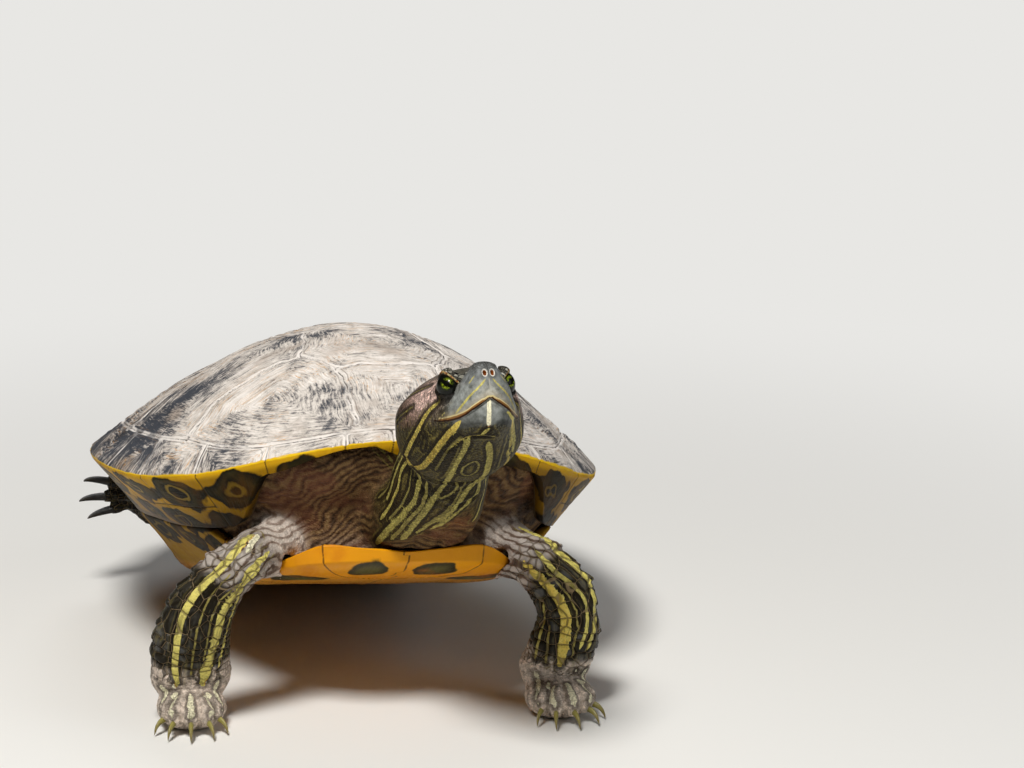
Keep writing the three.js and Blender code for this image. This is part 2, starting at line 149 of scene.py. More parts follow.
class Chain:
    """Nodes being linked. Each method adds one node and gives back what comes out of it."""

    def __init__(self, tree):
        self.nodes, self.links = tree.nodes, tree.links

    def feed(self, socket, value):
        if isinstance(value, Value):
            self.links.new(value.socket, socket)
        else:
            socket.default_value = value

    def add(self, kind, *values, result=0, **settings):
        node = self.nodes.new(kind if kind.startswith("Geometry") else "ShaderNode" + kind)
        for key, value in settings.items():
            if key[0].islower():
                setattr(node, key, value)
        for key, value in settings.items():
            if key[0].isupper():
                self.feed(node.inputs[key.replace("_", " ")], value)
        for socket, value in zip(node.inputs, values):
            self.feed(socket, value)
        return Value(self, node.outputs[result])

    def split(self, vector):
        """The three numbers of a place or a direction."""
        node = self.add("SeparateXYZ", vector).socket.node
        return [Value(self, output) for output in node.outputs]

    def math(self, operation, a, b=0.0):
        return self.add("Math", a, b, operation=operation)

    def vector(self, operation, a, b=(0, 0, 0)):
        return self.add("VectorMath", a, b, operation=operation)

    def scaled(self, vector, size):
        return self.add("VectorMath", vector, Scale=size, operation="SCALE")

    def length(self, vector):
        return self.add("VectorMath", vector, operation="LENGTH", result=1)

    def noise(self, at, scale, detail=4.0, roughness=0.55, distortion=0.0):
        return self.add("TexNoise", Vector=at, Scale=scale, Detail=detail, Roughness=roughness,
                        Distortion=distortion)

    def cells(self, at, scale=1.0, disorder=1.0, result=0, feature="F1"):
        return self.add("TexVoronoi", Vector=at, Scale=scale, Randomness=disorder, result=result,
                        feature=feature)

    def between(self, value, low, high, to_low=0.0, to_high=1.0):
        return self.add("MapRange", value, low, high, to_low, to_high, interpolation_type="SMOOTHSTEP")


class Finish(Chain):
    """A material being painted."""

    def __init__(self, name, **sockets):
        self.material = bpy.data.materials.new(name)
        self.material.use_nodes = True
        super().__init__(self.material.node_tree)
        self.shader = self.nodes["Principled BSDF"]
        for socket, value in sockets.items():
            self.feed(self.shader.inputs[socket.replace("_", " ")], value)

    def place(self):
        return self.add("TexCoord", result=3)

    def attribute(self, name, result=2):
        """A number (2), a direction (1) or a colour (0) stored on the mesh."""
        return self.add("Attribute", attribute_name=name, result=result)

    def ramp(self, value, *stops):
        node = self.nodes.new("ShaderNodeValToRGB")
        self.feed(node.inputs[0], value)
        elements = node.color_ramp.elements
        elements[0].position, elements[0].color = stops[0][0], (*stops[0][1], 1)
        elements[1].position, elements[1].color = stops[-1][0], (*stops[-1][1], 1)
        for at, colour in stops[1:-1]:
            elements.new(at).color = (*colour, 1)
        return Value(self, node.outputs[0])

    def mix(self, share, under, over, blend="MIX"):
        node = self.nodes.new("ShaderNodeMix")
        node.data_type, node.blend_type = "RGBA", blend
        for index, value in ((0, share), (6, under), (7, over)):
            self.feed(node.inputs[index], (*value, 1) if isinstance(value, tuple) else value)
        return Value(self, node.outputs[2])

    def done(self, colour, roughness, height, depth=0.4, distance=MM):
        """Colour, roughness and a height go to the shader."""
        self.feed(self.shader.inputs["Base Color"], colour)
        self.feed(self.shader.inputs["Roughness"], roughness)
        bump = self.add("Bump", Height=height, Distance=distance, Strength=depth)
        self.feed(self.shader.inputs["Normal"], bump)
        return self.material


def paint(red, green, blue):
    """A colour as a paint chart gives it, 0 to 255, for a shader socket."""
    return tuple(((c / 255 + 0.055) / 1.055) ** 2.4 if c > 10 else c / 255 / 12.92
                 for c in (red, green, blue))


print("palette ready")

# %% Read, write and finish a mesh
def points_of(piece):
    flat = np.empty(len(piece.data.vertices) * 3)
    piece.data.vertices.foreach_get("co", flat)
    return flat.reshape(-1, 3) / MM


def normals_of(piece):
    flat = np.empty(len(piece.data.vertices) * 3, np.float32)
    piece.data.vertex_normals.foreach_get("vector", flat)
    return flat.reshape(-1, 3).astype(float)


def set_points(piece, points):
    piece.data.vertices.foreach_set("co", (points * MM).ravel())
    piece.data.update()


def store(piece, name, values):
    """Numbers, or directions, kept at the mesh's points for its material to read."""
    values = np.asarray(values, np.float32)
    form, key = ("FLOAT", "value") if values.ndim == 1 else ("FLOAT_VECTOR", "vector")
    attribute = piece.data.attributes.new(name, form, "POINT")
    attribute.data.foreach_set(key, values.ravel())


def select_only(piece):
    bpy.ops.object.select_all(action="DESELECT")
    piece.select_set(True)
    bpy.context.view_layer.objects.active = piece


def finished(piece, name, material, slot, *replaced):
    """Names a piece, paints it, hangs it on the root and hides the imported nodes it replaces."""
    piece.name = piece.data.name = name
    piece.data.materials.clear()
    piece.data.materials.append(material)
    piece.data.shade_smooth()
    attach(piece, "root")
    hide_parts(*replaced)
    piece.data.calc_loop_triangles()
    print(name, "has", len(piece.data.loop_triangles), "triangles")


def lerp(a, b, share):
    return a + (b - a) * share


def smoothstep(value, low, high):
    t = np.clip((value - low) / (high - low), 0, 1)
    return t * t * (3 - 2 * t)


def signed_power(value, power):
    return np.sign(value) * np.abs(value) ** power


def bell(distance, width):
    """1 at no distance, fading to 0 at about twice the width."""
    return np.exp(-((distance / width) ** 2))


print("mesh helpers ready")

# %% [markdown]
# ## Floor and light
# A museum plinth is plain and pale, and lit softly. The floor is one plane, so large that its edge stays
# out of view. A soft key lamp, two wide weak ones and an even pale surround light the animal at a plain
# level, at which a paint renders about as it is mixed. A single sun would be closer to a summer pond, but
# its hard shadow would hide the skin inside the shell.

# %% Make the floor, the surround and the lamps
FLOOR_SIZE = 14
bpy.ops.object.select_all(action="DESELECT")
bpy.ops.mesh.primitive_plane_add(size=FLOOR_SIZE, location=(0, 0, 0))
floor = bpy.context.object
floor.name = "floor"
bpy.ops.object.mode_set(mode="EDIT")
bpy.ops.mesh.subdivide(number_cuts=6)
bpy.ops.object.mode_set(mode="OBJECT")
plinth = Finish("plinth")
grain = plinth.noise(plinth.place(), 60.0, 3.0)
floor.data.materials.append(plinth.done((*paint(233, 232, 229), 1), 0.8, grain, 0.15, 0.3 * MM))
# Away from the animal the floor fades, for the camera only, into a plain glow as pale as the surround.
far_paint = plinth.add("Emission", Color=(*paint(232, 231, 228), 1), Strength=1.0)
faded = plinth.add("LightPath") * plinth.between(plinth.length(plinth.place()), 0.14, 0.55)
blended = plinth.add("MixShader", faded, Value(plinth, plinth.shader.outputs[0]), far_paint)
plinth.feed(plinth.nodes["Material Output"].inputs["Surface"], blended)

surround = bpy.data.worlds.new("surround")
bpy.context.scene.world = surround
surround.use_nodes = True
air = Chain(surround.node_tree)
rays = air.nodes.new("ShaderNodeLightPath").outputs
AMBIENT, PALE = 0.36, 0.93
seen = air.math("MAXIMUM", *[Value(air, rays[kind]) for kind in ("Is Camera Ray", "Is Transmission Ray")])
air.feed(air.nodes["Background"].inputs["Strength"], air.add("MapRange", seen, 0.0, 1.0, AMBIENT, PALE))


def softbox(name, azimuth, height, distance, size, watts, colour=(1, 1, 1)):
    """A square lamp, aimed at the animal from an azimuth and height in degrees."""
    a, h = math.radians(azimuth), math.radians(height)
    aim = Vector((0, -0.04, 0.07))
    way = Vector((math.sin(a) * math.cos(h), -math.cos(a) * math.cos(h), math.sin(h)))
    bpy.ops.object.light_add(type="AREA", location=aim + way * distance,
                             rotation=way.to_track_quat("Z", "Y").to_euler())
    lamp = bpy.context.object
    lamp.name = name
    lamp.data.size, lamp.data.energy, lamp.data.color = size, watts, colour


softbox("key_lamp", -34, 58, 1.5, 0.34, 24, (1, 0.98, 0.94))
softbox("fill_lamp", 55, 28, 1.8, 1.1, 4.0, (0.94, 0.97, 1))
softbox("back_lamp", 165, 48, 1.6, 0.8, 5.0)
print("floor and lamps ready")

# %% [markdown]
# ## The form of the shell
# The upper half, the carapace, is a dome that turns under at its rim. The lower half, the plastron, is a
# flat plate that a bridge on each side joins to the dome. Both could be sculpted from a sphere by hand,
# but every scute, seam and growth ridge has to be found again from underneath and from above. So the
# shell is written as a few formulas: an angle round the animal, 0 at the snout and half a turn at the
# tail, and a share of the way from the top of the dome to the rim, or down the sloping flank from the rim
# to the plastron's edge.

# %% Formulas of the rim, the dome and the flank
HALF_LENGTH, HALF_WIDTH, SHELL_TOP, APEX_Y = 125, 96.5, 99.5, 3
SHELL_WALL, PLASTRON_THICKNESS, PLASTRON_RISE = 5, 9, 5
GULAR_START, GULAR_REACH, GULAR_RISE = 40, 71, 6.5
BRIDGE_SHARE = 0.52


def along_rim(angle):
    s, c = np.sin(angle), np.cos(angle)
    return np.stack([HALF_WIDTH * signed_power(s, 0.99) * (1 - 0.01 * c),
                     -HALF_LENGTH * signed_power(c, 0.96),
                     47.5 + 2 * c + np.cos(2 * angle) + 6 * np.cos(3 * angle)], -1)


def along_plastron(angle):
    s, c = np.sin(angle), np.cos(angle)
    return np.stack([54 * signed_power(s, 0.55), -111 * signed_power(c, 0.62), PLASTRON_RISE + 0 * angle],
                    -1)


def degrees_from_front(angle):
    degrees = np.degrees(angle) % 360
    return np.minimum(degrees, 360 - degrees)


def bridge_at(angle):
    """1 where the bridge joins the two halves, 0 at the openings for neck, legs and tail."""
    d = degrees_from_front(angle)
    joined = smoothstep(d, 43, 61) * (1 - smoothstep(d, 110, 124))
    return 1 - (1 - joined) ** 0.55


def lip_at(angle):
    """How much of the flank is the carapace's turned-under edge."""
    d, turn = degrees_from_front(angle), np.degrees(angle) % 360
    opening = lerp(0.12, 0.28, smoothstep(d, 35, 75))
    opening = opening * (1 - 0.7 * smoothstep(turn, 328, 346) * (1 - smoothstep(turn, 350, 359)))
    closed = 1 - (1 - smoothstep(d, 33, 53) * (1 - smoothstep(d, 110, 124))) ** 2
    return lerp(opening, BRIDGE_SHARE - 0.0015, closed)


def gular_lift(y):
    return GULAR_RISE * np.maximum(0, (-y - GULAR_START) / GULAR_REACH) ** 2


def on_flank(angle, share, depth=0.0):
    rim, edge = along_rim(angle), along_plastron(angle)
    inwards = (edge - rim) * (1, 1, 0)
    drop = rim[..., 2] - edge[..., 2]
    run = np.linalg.norm(inwards, axis=-1)
    slope = np.hypot(run, drop)
    point = lerp(rim, edge, np.asarray(share)[..., None])
    point = point + inwards / run[..., None] * (depth * drop / slope)[..., None]
    point[..., 2] += depth * run / slope
    return point


def on_dome(angle, rho, depth=0.0):
    outwards = along_rim(angle) - (0, APEX_Y, 0)
    rim_height = outwards[..., 2]
    reach = np.hypot(outwards[..., 0], outwards[..., 1])
    low = rim_height - 0.2 * depth
    height = low + (SHELL_TOP - depth - low) * (1 - rho ** (1.8 + 0.6 * np.cos(angle)))
    plan = outwards[..., :2] * ((reach - 1.6 * depth) * rho / reach)[..., None]
    return np.concatenate([plan + (0, APEX_Y), height[..., None]], -1)


def ripple(points, size, seed):
    """Soft waves from -1 to 1, about size millimetres long, the same at each run."""
    chance = np.random.default_rng(seed)
    total = 0
    for _ in range(6):
        way = chance.normal(size=3)
        way *= 2 * math.pi / size / np.linalg.norm(way) * chance.uniform(0.6, 1.5)
        total = total + np.sin(points @ way + chance.uniform(0, 6.28))
    return total / 3


def laid_sphere(columns, rows, lay):
    """A UV sphere whose rings are laid on a surface. lay gives a grid of points, one row for each ring."""
    bpy.ops.object.select_all(action="DESELECT")
    bpy.ops.mesh.primitive_uv_sphere_add(segments=columns, ring_count=rows, radius=1)
    piece = bpy.context.object
    x, y, z = (points_of(piece) * MM).T
    row = np.rint(np.arccos(np.clip(z, -1, 1)) / math.pi * rows).astype(int)
    column = np.rint(np.arctan2(x, -y) / (2 * math.pi) * columns).astype(int) % columns
    grid = lay(np.arange(columns)[None, :] * 2 * math.pi / columns)
    return piece, grid, (row, column)


def grid_places(grid):
    """The angle and the number of the row of each point of a grid, in one long list."""
    rows, columns = grid.shape[:2]
    return np.tile(np.arange(columns) * 2 * math.pi / columns, rows), np.repeat(np.arange(rows), columns)


def store_laid(piece, grid, spots, **named):
    """Keeps values that were worked out on a grid, at the points of the sphere laid on it."""
    for name, values in named.items():
        store(piece, name, values.reshape(*grid.shape[:2], -1)[spots].squeeze())


def grid_normals(grid):
    across = np.roll(grid, -1, 1) - np.roll(grid, 1, 1)
    normal = np.cross(np.gradient(grid, axis=0), across)
    normal[0], normal[-1] = normal[1].mean(0), normal[-2].mean(0)
    return normal / np.linalg.norm(normal, axis=-1, keepdims=True)


def soften_rows(grid, first, last, times):
    """Rounds a hard turn between two rows."""
    for _ in range(times):
        grid[first:last] = (grid[first - 1:last - 1] + 2 * grid[first:last] + grid[first + 1:last + 1]) / 4
    return grid


def nearest(points, samples):
    """How far each point is from the nearest sample, and the way to it."""
    tree = KDTree(len(samples))
    for i, sample in enumerate(samples):
        tree.insert(sample, i)
    tree.balance()
    found = np.array([tree.find(p)[1] for p in points])
    away = points - samples[found]
    return np.linalg.norm(away, axis=1), away, found


def dense(corners, step=0.8, wobble=0.0, seed=0):
    """Points every step along a line through corners, which may wander a little to each side."""
    corners = np.asarray(corners, float)
    lengths = np.r_[0, np.cumsum(np.linalg.norm(np.diff(corners, axis=0), axis=1))]
    at = np.linspace(0, lengths[-1], max(2, int(lengths[-1] / step)))
    line = np.stack([np.interp(at, lengths, column) for column in corners.T], -1)
    if wobble:
        phase = np.random.default_rng(seed).uniform(0, 6.28, (2, 3))
        for k, size in enumerate((9.0, 23.0)):
            for axis in range(2):
                line[:, axis] += wobble * np.sin(at * 2 * math.pi / size + phase[k, axis]) * (0.5 + 0.5 * k)
    return line


print("the rim is", np.ptp(along_rim(np.linspace(0, 6.28, 721))[:, :2], axis=0).round(1), "mm")

# %% [markdown]
# ## Scutes
# Horny plates cover the shell. On top are five vertebrals down the middle, four costals on each side, and
# a rim of twelve marginals a side with a small nuchal over the neck. They could be separate meshes, but
# on the animal they sit edge to edge on one bone dome with a fine seam between. So the seams are drawn as
# lines on one surface, and each point learns how far it is from the nearest seam. That one distance sinks
# the seam, raises the growth ridges that run beside it, and later guides the paint.

# %% Draw the seams of the carapace
MARGINAL_SEAMS = [4.5, 15, 32.8, 50.5, 68, 83, 98, 113, 129, 145, 159, 170, 180]
RING = np.array([[0, 0.956], [20, 0.955], [37, 0.944], [47, 0.921], [58, 0.88], [75, 0.862], [120, 0.855],
                 [160, 0.875], [180, 0.885]])
VERTEBRAL_SIDE = [(19.5, -113), (18.5, -95), (19, -77), (28, -56), (20, -28), (29, -4), (20, 20), (27, 43),
                  (17, 64), (29, 84), (37, 99)]
VERTEBRAL_ENDS = [(19, -77), (20, -28), (20, 20), (17, 64)]
COSTAL_STARTS = {58.8: [(28, -56), (43, -52), (58, -51)], 90: [(29, -4), (58, -3)],
                 121: [(27, 43), (52, 50)]}
RIM_ANGLES = np.linspace(0, 2 * math.pi, 1441)


def ring_share(angle):
    """Where the marginals begin, as a share of the way from the top of the dome to the rim."""
    return np.interp(degrees_from_front(angle), *RING.T)


def place_in_rim(points):
    """Where points of the shell's frame lie: the angle round it, and the share of the way to the rim."""
    rim = along_rim(RIM_ANGLES)
    bearings = np.unwrap(np.arctan2(rim[:, 0], APEX_Y - rim[:, 1]))
    x, y = points[:, 0], points[:, 1] - APEX_Y
    angle = np.interp(np.arctan2(x, -y) % (2 * math.pi), bearings, RIM_ANGLES)
    reach = np.stack([np.interp(angle, RIM_ANGLES, rim[:, k]) for k in (0, 1)])
    return angle, np.hypot(x, y) / np.hypot(reach[0], reach[1] - APEX_Y)


def dome_over(plan):
    """The point of the dome straight above a place in plan."""
    return on_dome(*place_in_rim(plan))


def carapace_seams():
    lines = [dense([(-x, y), (0, y - 2.5), (x, y)], wobble=0.4, seed=i)
             for i, (x, y) in enumerate(VERTEBRAL_ENDS)]
    for side in (-1, 1):
        mirrored = np.array(VERTEBRAL_SIDE) * (side, 1)
        lines.append(dense(mirrored, wobble=0.5, seed=11 + side))
        for number, (end, start) in enumerate(COSTAL_STARTS.items()):
            angle = np.array([math.radians(end)])
            last = on_dome(angle, ring_share(angle))[0, :2]
            corners = np.array([*start, last]) * (side, 1)
            lines.append(dense(corners, wobble=0.6, seed=31 + number + side))
    on_top = [dome_over(line) for line in lines]
    round_ring = np.linspace(0, 2 * math.pi, 900)
    on_top.append(on_dome(round_ring, ring_share(round_ring) + 0.002 * np.sin(9 * round_ring)))
    for degrees in sorted({sign * d for d in MARGINAL_SEAMS for sign in (-1, 1)}):
        angle = np.radians(degrees) + np.zeros(60)
        on_top.append(on_dome(angle[:30], np.linspace(ring_share(angle[0]), 1, 30)))
        on_top.append(on_flank(angle, np.linspace(0, 1, 60)))
    bridge_line = np.radians(np.r_[np.linspace(50, 120, 160), np.linspace(240, 310, 160)])
    on_top.append(on_flank(bridge_line, 0.31 + 0.012 * np.sin(12 * bridge_line)))
    return np.concatenate(on_top)


seam_samples = carapace_seams()
print(len(seam_samples), "points along the seams")

# %% [markdown]
# ## Carapace
# An old slider's carapace is dry and worn: the seams are fine grooves with chalky edges, growth ridges
# run inside each scute, and the hind rim is notched between marginals. A displacement texture could add
# that, but it wouldn't know where the scutes are. So the height is worked out from the distance to the
# seam.

# %% Lay the carapace and raise its ridges
DOME_ROWS, LIP_ROWS, TURN_ROWS, LINING_ROWS = 114, 26, 3, 8
SHELL_COLUMNS = 480


def lay_carapace(angle):
    rho = np.linspace(0, 1, DOME_ROWS + 1)[:, None]
    angle_rows = angle + 0 * rho
    seam_angles = np.radians(MARGINAL_SEAMS)
    gap = np.abs(np.arccos(np.cos(angle))[..., None] - seam_angles).min(-1) * HALF_WIDTH
    notch = 0.02 * bell(gap, 3.2) * smoothstep(degrees_from_front(angle), 112, 140)
    rho = rho * (1 - notch * smoothstep(rho, 0.86, 1))
    dome = on_dome(angle_rows, rho)
    lip = lip_at(angle)
    share = np.linspace(0, 1, LIP_ROWS + 1)[1:, None] * lip
    outer = on_flank(angle + 0 * share, share)
    outer += (dome[-1] - along_rim(angle)) * (1 - np.linspace(0, 1, LIP_ROWS)[:, None, None])
    turn = np.linspace(1, 0.7, TURN_ROWS)[:, None] * lip
    inner = on_flank(angle + 0 * turn, turn, SHELL_WALL * 0.8)
    lining = np.linspace(0.95, 0, LINING_ROWS)[:, None]
    return np.concatenate([dome, outer, inner, on_dome(angle + 0 * lining, lining, SHELL_WALL)])


rows = DOME_ROWS + LIP_ROWS + TURN_ROWS + LINING_ROWS
carapace, grid, spots = laid_sphere(SHELL_COLUMNS, rows, lay_carapace)
grid = soften_rows(grid, DOME_ROWS - 2, DOME_ROWS + 3, 3)
flat = grid.reshape(-1, 3)
outside = np.repeat(np.arange(len(grid)) <= DOME_ROWS + LIP_ROWS, SHELL_COLUMNS)
from_seam, seam_way = np.full(len(flat), 50.0), np.full((len(flat), 3), 50.0)
from_seam[outside], seam_way[outside], _ = nearest(flat[outside], seam_samples)

angle_of, row_of = grid_places(grid)
on_top = row_of <= DOME_ROWS
front_rim = smoothstep(row_of, DOME_ROWS - 6, DOME_ROWS)


def ridge(distance, period, strength):
    return strength * np.sin(2 * math.pi * distance / period)


wander = from_seam + 0.9 * ripple(flat, 26, 3) + 0.35 * ripple(flat, 9, 4)
within = smoothstep(from_seam, 1.6, 3.5)
relief = -0.40 * bell(from_seam, 0.55) + 0.28 * bell(from_seam - 1.4, 0.8)
relief += 0.5 * (1 - np.exp(-from_seam / 5))
relief += ridge(wander, 2.9, 0.16) * within * smoothstep(ripple(flat, 38, 5), -0.7, 0.5)
relief += ridge(wander, 5.3, 0.14) * within
relief += 0.45 * ripple(flat, 34, 6) * on_top + 0.12 * ripple(flat, 11, 7)
comb_place = np.hypot((flat[:, 0] + 58) / 15, (flat[:, 1] + 80) / 19)
relief += ridge(angle_of * 96, 2.3, 0.22) * on_top * (1 - smoothstep(comb_place, 0.7, 1.1)) \
    * smoothstep(from_seam, 1.5, 3) * (1 - smoothstep(from_seam, 8, 13))
wrinkle_place = np.hypot((np.abs(flat[:, 0]) - 82) / 8, (flat[:, 1] + 28) / 26)
relief += ridge(flat[:, 1] + 0.8 * flat[:, 2] + 1.5 * ripple(flat, 16, 8), 6.4, 0.55) * on_top \
    * (1 - smoothstep(wrinkle_place, 0.5, 1.15)) * smoothstep(from_seam, 0.8, 2.5)
relief = np.where(outside, relief - 0.75 - 0.2 * front_rim, 0)
relief = np.where(row_of > DOME_ROWS + 1, relief * 0.25, relief)
normal = grid_normals(grid).reshape(-1, 3)
shaped = (flat + normal * relief[:, None]).reshape(grid.shape)
set_points(carapace, carried(shaped[spots], SHELL_FRAME))

flank_length = np.linalg.norm(along_rim(angle_of) - along_plastron(angle_of), axis=1)
below_rim = np.where(on_top, (row_of - DOME_ROWS) * 1.0,
                     (row_of - DOME_ROWS) / LIP_ROWS * lip_at(angle_of) * flank_length)
below_rim = np.where(outside, below_rim, 30)


def ringed_spot(angle, below, points):
    """1 at the edge of the ringed spot that each marginal wears underneath, 0 at its middle."""
    half = np.degrees(np.arccos(np.cos(angle)))
    seams = np.r_[-4.5, MARGINAL_SEAMS]
    plate = np.clip(np.searchsorted(seams, half, side="right") - 1, 0, len(seams) - 2)
    across = (half - (seams[plate] + seams[plate + 1]) / 2) / ((seams[plate + 1] - seams[plate]) / 2)
    upper = np.hypot(across / 0.96, (below - 9.8) / 8.9)
    lower = np.hypot((np.abs(across) - 1) / 0.9, (below - 25) / 8)
    lowest = np.hypot(across / 0.98, (below - 38) / 8.4)
    return np.min([upper, lower, lowest], 0) + 0.15 * ripple(points, 7, 21) + 0.12 * ripple(points, 17, 22)


store_laid(carapace, grid, spots, seam_way=seam_way, seam=from_seam, below_rim=below_rim,
           opening=1 - bridge_at(angle_of), spot=ringed_spot(angle_of, below_rim, flat))
print("carapace laid; the highest ridge stands", round(float(relief.max()), 2), "mm")

# %% [markdown]
# ## Paint of the carapace
# The top is chalky and streaked: pale cream over slate, in strokes that follow the growth ridges.
# Stretching one noise along the seams gives such strokes: it changes fast with the distance from the
# seam, and slowly along it. The rim is a thin yellow line, and underneath each marginal wears a dark
# ringed spot on gold.

# %% Mix the paint of the carapace
SLATE, WARM_GREY = paint(70, 73, 80), paint(146, 141, 138)
CREAM, CHALK = paint(204, 196, 188), paint(242, 235, 229)
GOLD, DEEP_GOLD, OLIVE_BLACK = paint(204, 156, 22), paint(150, 98, 16), paint(22, 20, 10)
SEAM_SLACK = 1.6


def far_from(finish, name, slack):
    """The distance to the nearest line of a kind anywhere on the surface, between mesh points too."""
    way = finish.length(finish.attribute(name + "_way", 1))
    return finish.math("MAXIMUM", way, finish.attribute(name) - slack)


def spotted_gold(finish, at, base):
    """Gold with a dark ring and a dark heart where the spot attribute says."""
    spot = finish.attribute("spot") + finish.noise(at, 300, 3) * 0.24
    rings = finish.ramp(spot / 1.6, (0.2, OLIVE_BLACK), (0.24, paint(146, 120, 38)),
                        (0.28, paint(132, 108, 34)), (0.32, OLIVE_BLACK), (0.44, paint(64, 56, 26)),
                        (0.62, OLIVE_BLACK), (0.67, base))
    mottle = finish.between(finish.noise(at, 90, 4), 0.42, 0.66, 0.0, 0.28)
    return finish.mix(mottle, rings, DEEP_GOLD)


def carapace_finish():
    f = Finish("worn_scutes", Specular_IOR_Level=0.06)
    at = f.place()
    distance = far_from(f, "seam", SEAM_SLACK)
    spread = f.scaled(at, 140.0)
    across = f.add("CombineXYZ", distance * 1.15, 0.0, distance * 0.8)
    strokes = f.noise(f.vector("ADD", spread, across), 1.0, 6, 0.62, 0.7)
    broad = f.noise(at, 30, 5)
    patches = f.noise(at, 75, 3)
    hairs = f.noise(f.vector("ADD", f.vector("MULTIPLY", at, (640, 120, 260)), across), 1.0, 3, 0.6, 0.3)
    x, y, _ = f.split(at)
    rearward = f.between(y, -0.05, 0.11, 0.0, 0.07)
    outward = f.between(x, -0.035, -0.09, 0.0, 0.055)
    flakes = f.noise(at, 260, 8, 0.78, 1.1)
    tone = strokes * 0.34 + broad * 0.34 + hairs * 0.18 + flakes * 0.28 + patches * 0.28
    tone = tone - rearward - outward
    colour = f.ramp(tone, (0.604, SLATE), (0.648, WARM_GREY), (0.688, CREAM), (0.79, CHALK))
    colour = f.mix(f.between(f.noise(at, 38, 4), 0.52, 0.7, 0.0, 0.55), colour, paint(150, 128, 108),
                   "MULTIPLY")
    vein = abs(f.noise(f.vector("ADD", spread, across), 0.45, 2, 0.5, 0.9) - 0.5)
    amber = f.between(vein, 0.02, 0.0) * f.between(broad, 0.46, 0.58)
    colour = f.mix(amber * 0.7, colour, paint(206, 148, 56))
    broken = f.between(f.noise(at, 150, 4), 0.40, 0.56)
    pale_seam = f.between(distance, 1.3, 0.7) * f.between(f.noise(at, 90, 3), 0.4, 0.6, 0.25, 0.85)
    colour = f.mix(pale_seam, colour, CHALK)
    shore = f.between(abs(distance - 1.75), 0.4, 0.1)
    colour = f.mix(shore * broken * 0.55, colour, paint(112, 98, 88))
    crack = f.between(distance, 0.38, 0.12) * (broken * 0.6 + 0.25)
    colour = f.mix(crack, colour, paint(66, 58, 50))
    below = f.attribute("below_rim")
    ragged = below + f.noise(at, 160, 3) * 1.4
    under = spotted_gold(f, at, GOLD)
    # Painted shade: the marginals' underside is mixed darker the further it lies below the rim.
    under = f.mix(f.between(below, 8, 24, 0.0, 0.55), under, paint(66, 44, 14), "MULTIPLY")
    # Painted shade: at the openings for neck and legs the underside just below the rim is mixed much
    # darker.
    shaded = f.between(below, 1.4, 4.0, 0.0, 0.6) * f.attribute("opening")
    under = f.mix(shaded, under, paint(82, 56, 26), "MULTIPLY")
    under = f.mix(f.between(ragged, 1.7, 1.0), under, paint(230, 188, 28))
    under = f.mix(f.between(distance, 0.5, 0.15) * 0.8, under, paint(56, 40, 18))
    lower = f.between(ragged, 0.1, 0.8)
    colour = f.mix(lower, colour, under)
    colour = f.mix(f.between(below, 27, 29), colour, paint(96, 76, 52))
    rough = f.between(tone - lower, 0.0, 0.6, 0.42, 0.78)
    return f.done(colour, rough, strokes * 0.9 + hairs * 0.5 - f.between(distance, 0.5, 0.1), 0.5)


finished(carapace, "carapace_scutes", carapace_finish(), "shell", "carapace")

# %% [markdown]
# ## Plastron
# Underneath are six pairs of scutes, golden yellow with one dark smudge on each. The front pair, the
# gulars, bend up to the neck and show as a bright lip. The plate is laid as the carapace was. Its seams
# are measured in plan, so that each runs on over the lip.

# %% Lay the plastron
UNDER_ROWS, SIDE_ROWS, BACK_ROWS, PLASTRON_LINING = 74, 26, 4, 6
PLASTRON_COLUMNS = 420
PLASTRON_SEAMS = [
    [(1.0, -118), (1.4, -92), (0.3, -60), (-0.6, -20), (0.5, 20), (-0.3, 70), (0, 116)],
    [(31.5, -118), (30.5, -108), (24, -98), (13, -85), (0.5, -78)],
    [(60, -72), (44, -62), (20, -50), (0.3, -46)],
    [(100, -14), (54, -12), (28, -6), (-0.6, -8)],
    [(100, 40), (54, 36), (28, 40), (0.4, 38)],
    [(58, 66), (40, 64), (18, 74), (-0.3, 80)],
]
SMUDGES = [(12.5, -103, 8.5, 8.5), (33, -80, 12, 11), (30, -32, 15, 13), (30, 13, 16, 14), (27, 56, 13, 9),
           (17, 93, 8, 11), (75, -25, 10, 9), (75, 15, 10, 9)]


